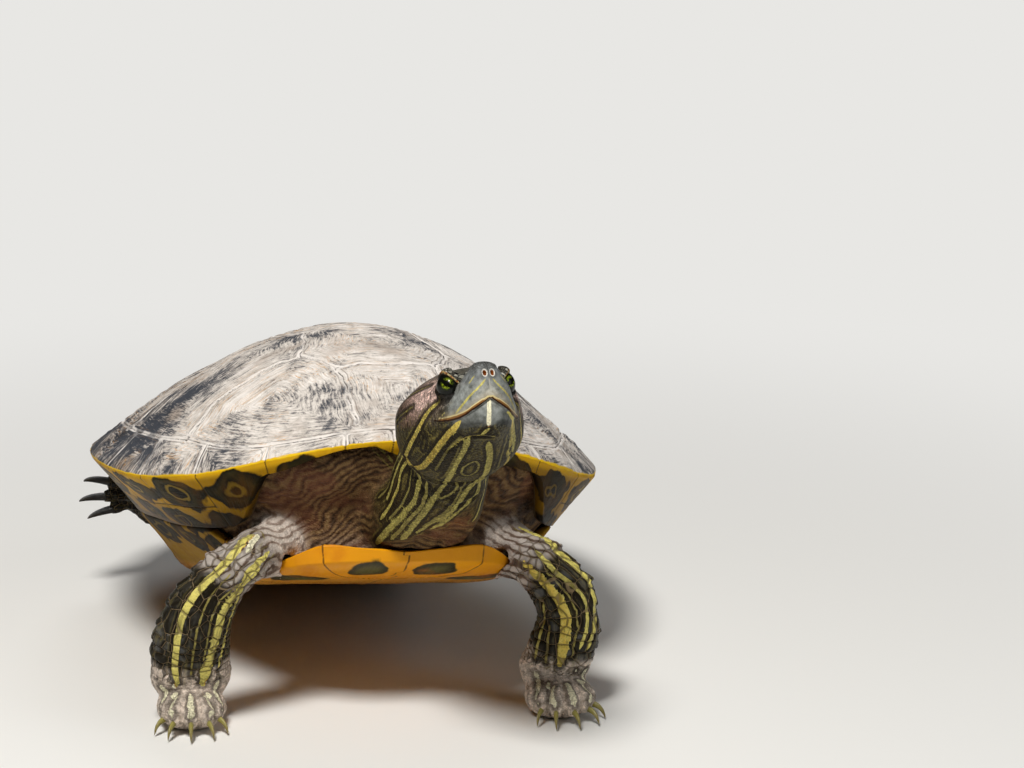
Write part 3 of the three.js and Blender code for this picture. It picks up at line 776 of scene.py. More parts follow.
def lay_plastron(angle):
    def plate(rho, height):
        edge = along_plastron(angle + 0 * rho)
        plan = edge[..., :2] * rho[..., None]
        return np.concatenate([plan, (height + gular_lift(plan[..., 1]))[..., None]], -1)

    bridge = bridge_at(angle)
    lift = ((1 - bridge) * gular_lift(along_plastron(angle)[..., 1]))[..., None] * (0, 0, 1)
    rho = (np.linspace(0, 1, UNDER_ROWS) ** 0.9 * 0.985)[:, None] + 0 * angle
    under = plate(rho, PLASTRON_RISE * rho ** 12)
    under[..., 2] += 2.4 * smoothstep(-under[..., 1], 26, 70) * (1 - rho ** 6)
    top = lerp(0.9, BRIDGE_SHARE + 0.0015, bridge)
    share = lerp(1, top, np.linspace(0, 1, SIDE_ROWS)[:, None])
    side = on_flank(angle + 0 * share, share) + lift
    # The front lip is highest beside its middle, and runs out to thin points.
    edge = along_plastron(angle)
    in_front = (1 - bridge) * (edge[..., 1] < 0)
    fall = 0.92 * in_front * smoothstep(np.abs(edge[..., 0]), 29, 55)
    wave = in_front * (2.2 * bell(np.abs(edge[..., 0]) - 30, 10) - 1.2 * bell(edge[..., 0], 9))
    old_top = side[-1:, :, 2].copy()
    side = side[:1] + (side - side[:1]) * (1 - fall)[..., None]
    side[..., 2] += wave * np.linspace(0, 1, SIDE_ROWS)[:, None]
    up = np.linspace(0, 1, BACK_ROWS)[:, None]
    back_share = lerp(lerp(0.91, BRIDGE_SHARE + 0.0015, bridge), 1, up)
    depth = lerp(4, lerp(7, 6, bridge), up)
    back = on_flank(angle + 0 * back_share, back_share, depth) + lift
    back[..., 2] += (side[-1:, :, 2] - old_top) * (1 - up)
    inner = np.linspace(0.9, 0, PLASTRON_LINING + 1)[:, None] + 0 * angle
    return np.concatenate([under, side, back, plate(inner, PLASTRON_THICKNESS + 0 * inner)])


rows = UNDER_ROWS + SIDE_ROWS + BACK_ROWS + PLASTRON_LINING
plastron, grid, spots = laid_sphere(PLASTRON_COLUMNS, rows, lay_plastron)
grid = soften_rows(grid, UNDER_ROWS - 3, UNDER_ROWS + 4, 3)
grid = soften_rows(grid, UNDER_ROWS + SIDE_ROWS - 3, UNDER_ROWS + SIDE_ROWS + 3, 2)
flat = grid.reshape(-1, 3)
both_sides = [np.array(line) * (side, 1) for line in PLASTRON_SEAMS for side in (1, -1)]
seams = np.concatenate([dense(line, 0.7, 0.3, 5) for line in both_sides])
in_plan = flat * (1, 1, 0)
from_seam, seam_way, _ = nearest(in_plan, np.c_[seams, 0 * seams[:, 0]])
smudge = np.min([np.hypot((np.abs(flat[:, 0]) - x) / rx, (flat[:, 1] - y) / ry)
                 for x, y, rx, ry in SMUDGES], 0)
angle_of, row_of = grid_places(grid)
share_of = np.where(row_of < UNDER_ROWS, 1, 1 - (row_of - UNDER_ROWS) / SIDE_ROWS * (1 - BRIDGE_SHARE))
flank_length = np.linalg.norm(along_rim(angle_of) - along_plastron(angle_of), axis=1)
bridge_spot = ringed_spot(angle_of, share_of * flank_length, flat)
on_bridge = bridge_at(angle_of) * smoothstep(row_of, UNDER_ROWS - 2, UNDER_ROWS + 4)
spot = lerp(smudge + 0.07 * ripple(flat, 8, 31) + 0.3, bridge_spot, on_bridge)
relief = -0.28 * bell(from_seam, 0.6) + 0.1 * bell(from_seam - 1.3, 0.7) + 0.1 * ripple(flat, 24, 32)
relief *= np.where(row_of < UNDER_ROWS + SIDE_ROWS, 1, 0)
shaped = (flat + grid_normals(grid).reshape(-1, 3) * (relief - 0.1)[:, None]).reshape(grid.shape)
room = carried(shaped[spots], SHELL_FRAME)
room[:, 2] = np.maximum(room[:, 2], 0.0)
set_points(plastron, room)
store_laid(plastron, grid, spots, seam_way=seam_way, seam=from_seam, spot=spot, bridge=on_bridge)
print("plastron laid, lowest point", round(float(room[:, 2].min()), 2), "mm")


# %% Mix the paint of the plastron
def plastron_finish():
    f = Finish("waxy_gold", Specular_IOR_Level=0.14)
    at = f.place()
    distance = far_from(f, "seam", SEAM_SLACK)
    along = f.split(at)[1]
    tint = f.between(along, -0.11, 0.02) + f.noise(at, 45, 4) * 0.5
    base = f.ramp(tint * 0.8, (0.16, paint(234, 160, 14)), (0.4, paint(220, 144, 18)),
                  (0.64, paint(206, 142, 40)), (0.96, paint(176, 118, 42)))
    spot = f.attribute("spot") + f.noise(at, 300, 4) * 0.16
    smudge = f.mix(f.between(spot, 0.7, 1.2), paint(84, 80, 40), paint(48, 44, 22))
    colour = f.mix(f.between(spot, 1.36, 1.26), base, smudge)
    colour = f.mix(f.between(f.noise(at, 70, 5), 0.52, 0.72, 0.0, 0.4), colour, paint(190, 96, 22))
    # Painted shade: the spotted bridge on each flank is mixed much darker than its own gold.
    flank = f.mix(0.55, spotted_gold(f, at, GOLD), paint(66, 44, 14), "MULTIPLY")
    colour = f.mix(f.attribute("bridge"), colour, flank)
    colour = f.mix(f.between(distance, 0.5, 0.2) * 0.85, colour, paint(86, 50, 14))
    grain = f.noise(f.vector("MULTIPLY", at, (900, 300, 300)), 1.0, 4)
    rough = f.between(grain, 0.3, 0.7, 0.3, 0.42) + f.attribute("bridge") * 0.35
    return f.done(colour, rough, grain * 0.4, 0.25)


finished(plastron, "plastron_scutes", plastron_finish(), "plastron", "plastron")

# %% [markdown]
# ## One skin
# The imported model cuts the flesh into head, jaw, neck, trunk, legs and tail, with hairline gaps between
# them. Living skin has no gaps. A sculptor would join the pieces and remesh them, so that is what is
# done: copies of the flesh are joined, swollen by a hair to close the cuts, and remade as one even mesh
# of small squares. The eyes go in too, so that the lids have a ball to be formed on. What the shell hides
# is thinned out afterwards, and the head, neck and forelegs are divided again, because that is where
# folds and scales are looked at.

# %% Join the flesh and remesh it
SIDES = ("right", "left")
LEG_PARTS = ("upper_arm", "forearm", "forefoot", "thigh", "shank", "hind_foot")
FLESH = ["trunk", "neck", "head", "lower_jaw", "tail"]
FLESH += [f"{part}_{side}" for part in LEG_PARTS for side in SIDES]
VOXEL = 1.42
SWELL = 0.3


def joined_copy(names):
    bpy.ops.object.select_all(action="DESELECT")
    copies = []
    for name in names:
        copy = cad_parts[name].copy()
        copy.data = copy.data.copy()
        copy.parent = None
        copy.hide_render = copy.hide_viewport = False
        bpy.context.scene.collection.objects.link(copy)
        select_only(copy)
        bpy.ops.object.mode_set(mode="EDIT")
        bpy.ops.mesh.select_all(action="SELECT")
        bpy.ops.mesh.remove_doubles(threshold=1e-5)
        bpy.ops.object.mode_set(mode="OBJECT")
        set_points(copy, points_of(copy) + SWELL * normals_of(copy))
        copies.append(copy)
    counts = [len(copy.data.polygons) for copy in copies]
    for copy in copies:
        copy.select_set(True)
    bpy.ops.object.join()
    joined = bpy.context.object
    for key in list(joined.keys()):
        del joined[key]
    return joined, counts


skin, counts = joined_copy(FLESH + ["eye_right", "eye_left"])
source = BVHTree.FromPolygons([v.co / MM for v in skin.data.vertices],
                              [p.vertices for p in skin.data.polygons])
# The last copy is the active one, and join puts its faces first.
owner_names = FLESH + ["head", "head"]
order = [len(counts) - 1] + list(range(len(counts) - 1))
source_owner = np.concatenate([np.full(counts[i], i) for i in order])
skin.data.remesh_voxel_size = VOXEL * MM
skin.data.use_remesh_preserve_volume = False
select_only(skin)
bpy.ops.object.voxel_remesh()
print("the skin starts with", len(skin.data.polygons), "squares")


# %% Even it out, thin what is hidden, divide what is seen
def edges_of(piece):
    flat = np.empty(len(piece.data.edges) * 2, int)
    piece.data.edges.foreach_get("vertices", flat)
    return flat.reshape(-1, 2)


def evened(values, edges, times, share=0.5):
    """Each value moved towards the mean of its neighbours', some times over."""
    values = np.asarray(values, float)
    columns = values.reshape(len(values), -1)
    a, b = edges.T
    size = len(columns)
    count = np.maximum(np.bincount(a, minlength=size) + np.bincount(b, minlength=size), 1)[:, None]
    share = np.broadcast_to(np.asarray(share, float).reshape(-1, 1), (size, 1))
    for _ in range(times):
        total = np.stack([np.bincount(a, column[b], size) + np.bincount(b, column[a], size)
                          for column in columns.T], -1)
        columns = lerp(columns, total / count, share)
    return columns.reshape(values.shape)


def part_of(points):
    """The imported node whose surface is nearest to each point."""
    faces = [source.find_nearest(Vector(p))[2] for p in points]
    names = np.array(owner_names)
    return names[source_owner[faces]]


def begins(names, *starts):
    return np.any([np.char.startswith(names, start) for start in starts], 0)


def shell_place(points):
    """For points in the room: angle round the shell, share of the way out to the rim, and height in it."""
    local = brought(points, SHELL_FRAME)
    return *place_in_rim(local), local[:, 2]


def choose_faces(piece, chosen):
    """Selects the faces whose corners are all chosen, and goes into edit mode."""
    select_only(piece)
    faces = np.array([all(chosen[i] for i in polygon.vertices) for polygon in piece.data.polygons])
    bpy.ops.object.mode_set(mode="EDIT")
    bpy.ops.mesh.select_mode(type="FACE")
    bpy.ops.mesh.select_all(action="DESELECT")
    bpy.ops.object.mode_set(mode="OBJECT")
    piece.data.polygons.foreach_set("select", faces)
    bpy.ops.object.mode_set(mode="EDIT")


points = points_of(skin)
parts = part_of(points)
softness = np.where(begins(parts, "forefoot", "hind_foot"), 0.22,
                    np.where(begins(parts, "head", "lower"), 0.45, 0.6))
set_points(skin, evened(points, edges_of(skin), 12, softness))

points = points_of(skin)
angle, share_out, height = shell_place(points)
rim_height = 47.5 + 2 * np.cos(angle) + 6 * np.cos(3 * angle)
within_shell = (share_out < 0.6) | (bridge_at(angle) > 0.9) | (height > rim_height + 9)
hidden = within_shell & (share_out < 0.93) & (height > 4)
hidden &= ~begins(parts, "head", "lower", "forearm", "forefoot")
hidden &= np.where(begins(parts, "neck"), share_out < 0.72, True)
choose_faces(skin, hidden)
bpy.ops.mesh.decimate(ratio=0.06)
bpy.ops.object.mode_set(mode="OBJECT")
print("thinned to", len(skin.data.polygons), "faces")

points = points_of(skin)
parts = part_of(points)
share_out = shell_place(points)[1]
seen_close = begins(parts, "neck", "upper_arm") & (share_out > 0.8)
seen_close |= begins(parts, "head", "lower", "forearm", "forefoot")
choose_faces(skin, seen_close)
bpy.ops.mesh.subdivide(number_cuts=1)
bpy.ops.object.mode_set(mode="OBJECT")
points = points_of(skin)
set_points(skin, evened(points, edges_of(skin), 2, 0.5))
print("divided to", len(skin.data.polygons), "faces")

# %% [markdown]
# ## Sculpting the head
# A slider's head is a blunt wedge: a horny beak with a notch in front, nostrils close together at the
# tip, and eyes set forward in thick lids. Sculpting brushes would shape it on screen. Here each brush is
# a small function of the distance to a line or a point in the head's own frame, so the two sides match
# and a lid can be moved by changing one number.

# %% The head's landmarks
EYE_RADIUS = 5.3
SNOUT_ASIDE = 1.4
GAZE = np.array([0.66, -0.75, 0.06])
MOUTH_LINE = [(1.4, 0.8, 0.4), (0.2, 0.8, -0.9), (-3.4, 1.6, -2.9), (-7.3, 4.0, -4.7), (-10.5, 8.3, -5.7),
              (-12.6, 14, -5.3), (-14.3, 18.4, -4.5), (-15.6, 21, -3.5)]
CROWN_DROP = 3.1
THROAT_FOLDS = [
    ([(-19.6, 46.6, -11.1), (-15, 50.5, -15.6), (-9, 52, -18.6), (-2, 51.5, -20), (5, 51.5, -20),
      (12, 51, -17)], 0.7, 0.9),
    ([(-10.1, 25.3, -13.8), (-8.9, 21.2, -12.9), (-7.3, 15.7, -12), (-5.3, 11.1, -11.8),
      (-2.1, 8.3, -11.9), (2, 8.5, -12), (6.6, 13, -11.5), (11.2, 20.6, -10.7)], 0.45, 0.6),
    ([(-16, 58, -14), (-8, 63, -24), (2, 66, -27), (10, 64, -24)], 0.5, 1.1),
]


def aside(y):
    """The snout points a little to the animal's left, so its middle line wanders off the head's axis."""
    return SNOUT_ASIDE * (1 - smoothstep(y, 6, 34))


def both_ways(line):
    """A line on the right side and its mirror image on the left, about the head's middle line."""
    right = np.asarray(line, float)
    left = right.copy()
    left[:, 0] = 2 * aside(right[:, 1]) - right[:, 0]
    return [right, left]


def eye_centre(side):
    return np.array([0.55 + side * 8.9, 17.2, 7.8])


def eye_axes(side, way=GAZE):
    """Along the lids' corners, up, and out along the way the lids or the pupil face."""
    out = way * (side, 1, 1) / np.linalg.norm(way)
    along = np.cross((0, 0, 1), out)
    along /= np.linalg.norm(along)
    along = along * math.cos(0.25) + np.cross(out, along) * math.sin(0.25) * side
    return along, np.cross(out, along), out


def lid_opening(to_rear, up):
    """1 at the edge of the lids, which reach further back than forward."""
    return np.hypot(to_rear / np.where(to_rear > 0, 5.1, 4.4),
                    up / np.where(up > 0, 2.9 + 0.3 * to_rear, 3.6))


def curve(corners, step=0.35):
    """A smooth line through a few corners."""
    line = dense(corners, step)
    width = max(3, min(9, len(line) // 5 * 2 + 1))
    for _ in range(2):
        padded = np.concatenate([np.repeat(line[:1], width // 2, 0), line,
                                 np.repeat(line[-1:], width // 2, 0)])
        line = np.stack([np.convolve(column, np.ones(width) / width, "valid") for column in padded.T], -1)
    return line


def surface_of(piece):
    return BVHTree.FromPolygons([v.co / MM for v in piece.data.vertices],
                                [p.vertices for p in piece.data.polygons])


def laid_on(tree, samples):
    """Samples moved to the nearest place on a surface."""
    return np.array([tree.find_nearest(Vector(s))[0] for s in samples])


parts = part_of(points_of(skin))
in_head = brought(points_of(skin), HEAD_FRAME)
is_head = begins(parts, "head", "lower") | (begins(parts, "neck") & (in_head[:, 1] < 70)
                                            & (in_head[:, 2] > -40))
close = np.zeros(len(in_head), bool)
for side in (-1, 1):
    close |= np.linalg.norm(in_head - eye_centre(side), axis=1) < 8.8
mouth = np.concatenate([curve(line) for line in both_ways(MOUTH_LINE)])
head_points = np.flatnonzero(is_head)
close[head_points] |= nearest(in_head[head_points], mouth)[0] < 1.9
close |= (in_head[:, 1] < 5) & (in_head[:, 2] > 5.5) & is_head
choose_faces(skin, close)
bpy.ops.mesh.subdivide(number_cuts=1)
bpy.ops.object.mode_set(mode="OBJECT")
set_points(skin, evened(points_of(skin), edges_of(skin), 1, 0.5))
print("with lids and lips divided again,", len(skin.data.polygons), "faces")

# %% Shape snout, beak, lids, nostrils and cheeks
parts = part_of(points_of(skin))
points = brought(points_of(skin), HEAD_FRAME)
is_head = begins(parts, "head", "lower")
in_reach = is_head | (begins(parts, "neck") & (points[:, 1] < 75))
points[:, 0] += np.where(in_reach, aside(points[:, 1]), 0)
set_points(skin, carried(points, HEAD_FRAME))
normals = normals_of(skin) @ np.array(HEAD_FRAME.inverted())[:3, :3].T
x, y, z = points.T
offside = x - aside(y)
push = np.zeros(len(points))
# The sides of the muzzle pinch in before the eyes, the crown is flat, and the jaw muscles fill the cheeks.
push -= 1.9 * np.exp(-((y - 8.5) / 4.2) ** 2 - ((z - 9.5) / 4.2) ** 2) * (np.abs(offside) > 4) * is_head
push -= 0.7 * np.exp(-((y - 9) / 5) ** 2 - ((z - 2.5) / 3.6) ** 2) * is_head
push += 0.5 * np.exp(-((y - 37) / 8) ** 2 - ((z + 6) / 7) ** 2) * is_head
push -= 0.9 * bell(z - 0.45 * (y - 30) + 8.5, 3.0) * smoothstep(y, 48, 56) * (1 - smoothstep(y, 62, 72))
# Skin folds cross the throat behind the jaw, and one runs along the chin.
for fold, depth, width in THROAT_FOLDS:
    near_fold = np.flatnonzero(in_reach & (z < 0))
    far_off = nearest(points[near_fold], curve(fold))[0]
    push[near_fold] -= depth * bell(far_off, width)
    push[near_fold] += 0.55 * depth * bell(far_off - 2.4 * width, 1.2 * width)
lower_crown = CROWN_DROP * smoothstep(z, 3, 15) * smoothstep(y, 5, 21) * (1 - smoothstep(y, 50, 74))
over_snout = smoothstep(y, 5, 11) * (1 - smoothstep(y, 24, 32)) * (z > 6)
saddle = 1.7 * bell(np.abs(offside) - 5.6, 2.2) * over_snout
points[:, 2] -= np.where(in_reach, lower_crown + saddle, 0)
on_head = np.flatnonzero(in_reach)
mouth_distance, mouth_away, _ = nearest(points[on_head], mouth)
below = smoothstep(-mouth_away[:, 2], -0.25, 0.25)
reach_back = 1 - smoothstep(y[on_head], 17, 22)
lips = 0.4 * bell(mouth_distance - 0.8, 0.7) * (1 - below) - 0.7 * bell(mouth_distance - 0.2, 2.0) * below
lips -= 0.85 * bell(mouth_distance, 0.36)
push[on_head] += lips * (0.25 + 0.75 * reach_back)
for side in (-1, 1):
    drum = np.linalg.norm(points - (side * 21.5, 38.5, 0.5), axis=1)
    push += (-0.35 * bell(drum - 4.6, 0.7) - 0.2 * bell(drum, 3.5)) * is_head
    nostril = np.hypot((x - aside(y) - side * 1.35) / 0.75, (z - 9.2) / 1.15) + 3 * (y > 6)
    push += (-1.3 * bell(nostril, 0.62) + 0.3 * bell(nostril - 1.25, 0.35)) * is_head * (y < 6)
points += normals * push[:, None]

for side in (-1, 1):
    centre = eye_centre(side)
    along, up, out = eye_axes(side)
    way = points - centre
    far = np.linalg.norm(way, axis=1)
    unit = way / far[:, None]
    a, b, c = unit @ along * EYE_RADIUS, unit @ up * EYE_RADIUS, unit @ out
    opening = lid_opening(a * side, b) + np.where(c < 0.05, 3, 0)
    brow = smoothstep(b, -1, 2.5)
    lid = EYE_RADIUS + 0.55 + brow * 0.95 * smoothstep(opening, 1.0, 1.35)
    lid += 0.25 * bell(opening - 1.12, 0.1)
    wanted = lerp(EYE_RADIUS - 1.1, lid, smoothstep(opening, 0.95, 1.07))
    reach_of_lid = lerp(np.full(len(b), 1.15), np.full(len(b), 1.55), brow)
    share = (1 - smoothstep(opening - reach_of_lid, 0, 0.55)) * in_reach * (far < 10.5)
    points = centre + unit * lerp(far, wanted, share)[:, None]
    ring = bell(opening - 1.62, 0.1) * (1 - brow) + bell(opening - 2.12, 0.13) * brow
    points -= unit * (0.45 * ring * in_reach * (far < 10.5))[:, None]
set_points(skin, carried(points, HEAD_FRAME))
print("head sculpted")

# %% Tuck the neck in behind the shell's front lip
LIP_Y, LIP_HEIGHT, THROAT_SLOPE, MOST_TUCK = -84, 70, 0.62, 18
points = points_of(skin)
parts = part_of(points)
x, y, z = points.T
# The skin under the neck rises from the lip to the throat instead of sagging in front of it.
short_by = LIP_HEIGHT - THROAT_SLOPE * (y - LIP_Y) - z
sag = (short_by + np.sqrt(short_by ** 2 + 16)) / 2
sag *= begins(parts, "neck", "trunk") * smoothstep(-y, 74, 86) * (1 - smoothstep(np.abs(x - 4), 30, 42))
points[:, 2] += evened(np.minimum(sag, MOST_TUCK) * (1 - smoothstep(-y, 112, 130)), edges_of(skin), 8)
print("neck raised by up to", round(float(sag.max()), 1), "mm")

# %% [markdown]
# ## Feet
# A forefoot is a broad palm with five toes joined by a short web, and a hind foot has four longer ones.
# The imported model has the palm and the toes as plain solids, and the fused skin has filled the gaps
# between them. So grooves are pressed in between the toes, knuckles raised on them, and the wrist is
# filled out.

# %% Shape the toes and the wrists
FORE = {"digits": 5, "spread": 25, "reach": 16.5}
HIND = {"digits": 4, "spread": 16, "reach": 27}
FEET = {
    "foreleg_right": (FORE, at(-74.5, -84, 0), -12, (0, 0, 0)),
    "foreleg_left": (FORE, at(60, -105, 0), 6, (0, 0, 0)),
    "hindleg_right": (HIND, at(-50, 85, 37), -80, (-80, 0, 8)),
    "hindleg_left": (HIND, at(72, 106, 0), 140, (0, 0, 0)),
}


def foot_frame(origin, heading, tilt):
    tx, ty, tz = tilt
    return (Matrix.Translation(origin) @ turned("Z", tz) @ turned("Y", ty) @ turned("X", tx)
            @ turned("Z", heading))


GROOVE_DEPTH, KNUCKLE_HEIGHT, WRIST_FILL, HANGING_LIFT = 1.5, 0.7, 1.9, 4
push = np.zeros(len(points))
# The right hind foot hangs in the air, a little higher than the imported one.
hanging = begins(parts, "hind_foot_right", "shank_right").astype(float)
points[:, 2] += HANGING_LIFT * evened(hanging, edges_of(skin), 25)
set_points(skin, points)
for name, (foot, origin, heading, tilt) in FEET.items():
    side = name.split("_")[1]
    mine = begins(parts, ("forefoot_" if foot is FORE else "hind_foot_") + side)
    local = brought(points, foot_frame(origin, heading, tilt))
    angle = np.degrees(np.arctan2(local[:, 0], -local[:, 1]))
    reach = np.hypot(local[:, 0], local[:, 1])
    middle_toe = (foot["digits"] - 1) / 2
    toe = np.clip(np.round(angle / foot["spread"] + middle_toe), 0, foot["digits"] - 1)
    off = reach * np.sin(np.radians(angle - (toe - middle_toe) * foot["spread"]))
    gap = np.clip(reach * math.sin(math.radians(foot["spread"] / 2)), 1.5, 4)
    out_on_toe = smoothstep(reach, 0.38 * foot["reach"], 0.68 * foot["reach"])
    groove = smoothstep(np.abs(off) / gap, 0.45, 1.0) * out_on_toe * (np.abs(angle) < 62)
    knuckle = bell(off, 1.7) * out_on_toe * (0.35 + 0.35 * np.sin(2 * math.pi * reach / 4.4))
    push += np.where(mine, KNUCKLE_HEIGHT * knuckle - GROOVE_DEPTH * groove, 0)
    if foot is FORE:
        wrist = begins(parts, "forefoot_" + side, "forearm_" + side)
        push += np.where(wrist, WRIST_FILL * bell(points[:, 2] - 15, 7), 0)
points += normals_of(skin) * push[:, None]
points[:, 2] = np.maximum(points[:, 2], 0)
set_points(skin, points)
print("toes shaped on", len(FEET), "feet")

# %% [markdown]
# ## Straightening the legs
# Scales run in rows down a leg, and yellow stripes follow it round its bends. To place them, each point
# of the skin is told where it would be if the leg, neck or tail were pulled straight: how far across, how
# far to the front, and how far along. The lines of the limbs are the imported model's own.

# %% Give each point its place along its limb
def in_shell(x, y, z):
    return tuple(carried([(x, y, z)], SHELL_FRAME)[0])


def in_head_frame(x, y, z):
    return tuple(carried([(x, y, z)], HEAD_FRAME)[0])


LIMB_LINES = {
    "neck": ([at(4, -56, 66), at(9, -90, 74), at(11, -114, 88), at(10, -127, 102),
              in_head_frame(0, 44, -2)], (1, 0, 0)),
    "foreleg_right": ([in_shell(-24, -58, 30), at(-41, -80, 64), at(-54, -87, 62), at(-67, -89, 53),
                       at(-73, -88, 42), at(-74, -82, 29), at(-73.5, -78, 18), at(-74, -80, 8)],
                      (0, 1, 0)),
    "foreleg_left": ([in_shell(24, -58, 30), at(40, -76, 58), at(50, -87, 56), at(60, -96, 50),
                      at(66, -101, 38), at(63, -101, 28), at(60, -98, 17), at(60, -101, 8)],
                     (0, 1, 0)),
    "hindleg_right": ([in_shell(-22, 46, 30), in_shell(-36, 66, 28), at(-40, 82, 31), at(-45, 88, 32),
                       at(-50, 87, 33), at(-62, 86, 33)], (0, 0, 1)),
    "hindleg_left": ([in_shell(22, 46, 28), in_shell(42, 66, 24), at(58, 82, 24), at(66, 94, 15),
                      at(70, 102, 7), at(77, 114, 5)], (0, 1, 0.4)),
    "tail": ([in_shell(0, 78, 24), in_shell(2, 104, 17), at(8, 122, 9), at(20, 138, 4.2), at(36, 145, 2.2)],
             (1, 0, 0)),
}
LIMB_PARTS = {"neck": ["neck"], "tail": ["tail"]}
for side in SIDES:
    for limb, own_parts in (("foreleg", LEG_PARTS[:3]), ("hindleg", LEG_PARTS[3:])):
        LIMB_PARTS[f"{limb}_{side}"] = [f"{part}_{side}" for part in own_parts]


class LimbLine:
    """The middle line of a limb, with the directions across it and to its front at each step."""

    def __init__(self, corners, across):
        self.line = curve(corners, 0.5)
        tangent = np.gradient(self.line, axis=0)
        self.tangent = tangent / np.linalg.norm(tangent, axis=1, keepdims=True)
        side = np.array(across, float) - self.tangent * (self.tangent @ np.array(across, float))[:, None]
        self.side = side / np.linalg.norm(side, axis=1, keepdims=True)
        self.front = np.cross(self.side, self.tangent)
        self.along = np.r_[0, np.cumsum(np.linalg.norm(np.diff(self.line, axis=0), axis=1))]

    def straighten(self, points):
        _, away, step = nearest(points, self.line)
        across = (away * self.side[step]).sum(1)
        forward = (away * self.front[step]).sum(1)
        return np.stack([across, forward, self.along[step] + (away * self.tangent[step]).sum(1)], -1)

    def stripe(self, degrees, start, end, radius=30.0):
        """A line down the limb at one angle round it, from one length to another, well outside the skin."""
        angle = math.radians(degrees)
        chosen = (self.along >= start) & (self.along <= end)
        away = self.side[chosen] * math.cos(angle) + self.front[chosen] * math.sin(angle)
        return self.line[chosen], away * radius


limb_lines = {name: LimbLine(*facts) for name, facts in LIMB_LINES.items()}
parts = part_of(points_of(skin))
room = points_of(skin)
straight = room.copy()
armour = np.full(len(room), 0.12)
for name, line in limb_lines.items():
    mine = np.flatnonzero(np.isin(parts, LIMB_PARTS[name]))
    straight[mine] = line.straighten(room[mine])
    print(name, "is", round(float(line.along[-1])), "mm long;", len(mine), "points")

lie = straight / 3.0
along = straight[:, 2]
FRILL_HEIGHT, FRILL_PITCH, ARMPIT_DEPTH = 1.5, 5.6, 3.4
# Along the outer edge of each forearm stands a row of large pointed scales, like shingles.
frill, hollow = np.zeros(len(room)), np.zeros(len(room))
normals = normals_of(skin)
for name, outer in (("foreleg_right", 90), ("foreleg_left", -90)):
    mine = np.isin(parts, LIMB_PARTS[name])
    share = along / limb_lines[name].along[-1]
    around = np.degrees(np.arctan2(straight[:, 1], straight[:, 0])) - outer
    row = (along / FRILL_PITCH) % 1
    edge_of_arm = bell(around, 26) * smoothstep(share, 0.46, 0.54) * (1 - smoothstep(share, 0.82, 0.88))
    frill += np.where(mine, FRILL_HEIGHT * edge_of_arm * row ** 1.6, 0)
    # The armpit is hollow, on the side that faces the middle and the ground.
    inwards = np.clip(0.75 * (np.sign(outer) * normals[:, 0] - normals[:, 2]), 0, 1)
    hollow += np.where(mine, ARMPIT_DEPTH * inwards * bell(share - 0.43, 0.1), 0)
edges = edges_of(skin)
push = evened(frill, edges, 1)[:, None] * normals
push -= evened(hollow, edges, 14)[:, None] * evened(normals, edges, 10)
set_points(skin, room + push)
room = points_of(skin)


def scale_lie(name, width_at, pitch_at, armour_at, base, unit=1):
    """Sets the width of a limb's scales at each length, how far apart their rows are, and their height."""
    mine = np.isin(parts, LIMB_PARTS[name])
    width_at, pitch_at, armour_at = [np.array(facts).T * [[unit], [1]]
                                     for facts in (width_at, pitch_at, armour_at)]
    steps = np.linspace(-40, 260, 1201)
    rows = np.cumsum(0.25 / np.interp(steps, *pitch_at))
    width = np.interp(along, *width_at)
    lie[mine] = np.stack([straight[:, 0] / width, straight[:, 1] / width, np.interp(along, steps, rows)],
                         -1)[mine]
    lie[mine] += base
    armour[mine] = np.interp(along, *armour_at)[mine]


for index, name in enumerate(("foreleg_right", "foreleg_left")):
    # Here the lengths are shares of the whole leg.
    scale_lie(name,
              [(0, 1.7), (0.40, 1.8), (0.50, 4.4), (0.72, 5.2), (0.84, 6.2), (0.93, 5.5), (0.97, 2.4)],
              [(0, 2.3), (0.40, 2.4), (0.50, 4.6), (0.68, 4.8), (0.76, 3.3), (0.93, 3.2), (0.97, 2.4)],
              [(0, 0.05), (0.40, 0.12), (0.5, 0.45), (0.84, 0.5), (0.88, 0.22)],
              40 * index, limb_lines[name].along[-1])
for index, name in enumerate(("hindleg_right", "hindleg_left")):
    scale_lie(name, [(0, 2.6)], [(0, 3.0)], [(0, 0.05), (20, 0.2), (50, 0.3)], 100 + 30 * index)
scale_lie("tail", [(0, 2.2)], [(0, 3.2)], [(0, 0.1), (30, 0.28)], 200)
scale_lie("neck", [(0, 1.5)], [(0, 1.9)], [(0, 0.02), (60, 0.10)], 250)
head_place = brought(room, HEAD_FRAME)
is_head = begins(parts, "head", "lower")
lie[is_head] = head_place[is_head] / 1.4
under_jaw = smoothstep(-head_place[:, 2], 9, 14) * smoothstep(head_place[:, 1], 12, 20)
armour[is_head] = 0.1 * under_jaw[is_head]
armour = evened(armour, edges_of(skin), 6)

# %% [markdown]
# ## Scales and folds
# Scales on the forearm are plates four or five millimetres wide, closing up to narrow bands above the
# wrist. They could be thousands of small meshes, but on the living leg they are one skin, creased between
# plates. A Voronoi pattern has just such creases. The same pattern, read from the same places, is used
# twice: here to raise the skin between the creases, and later by the paint to colour them.

# %% Raise the scales
SCALE_DISORDER, CREASE_WIDTH = 0.62, 0.17


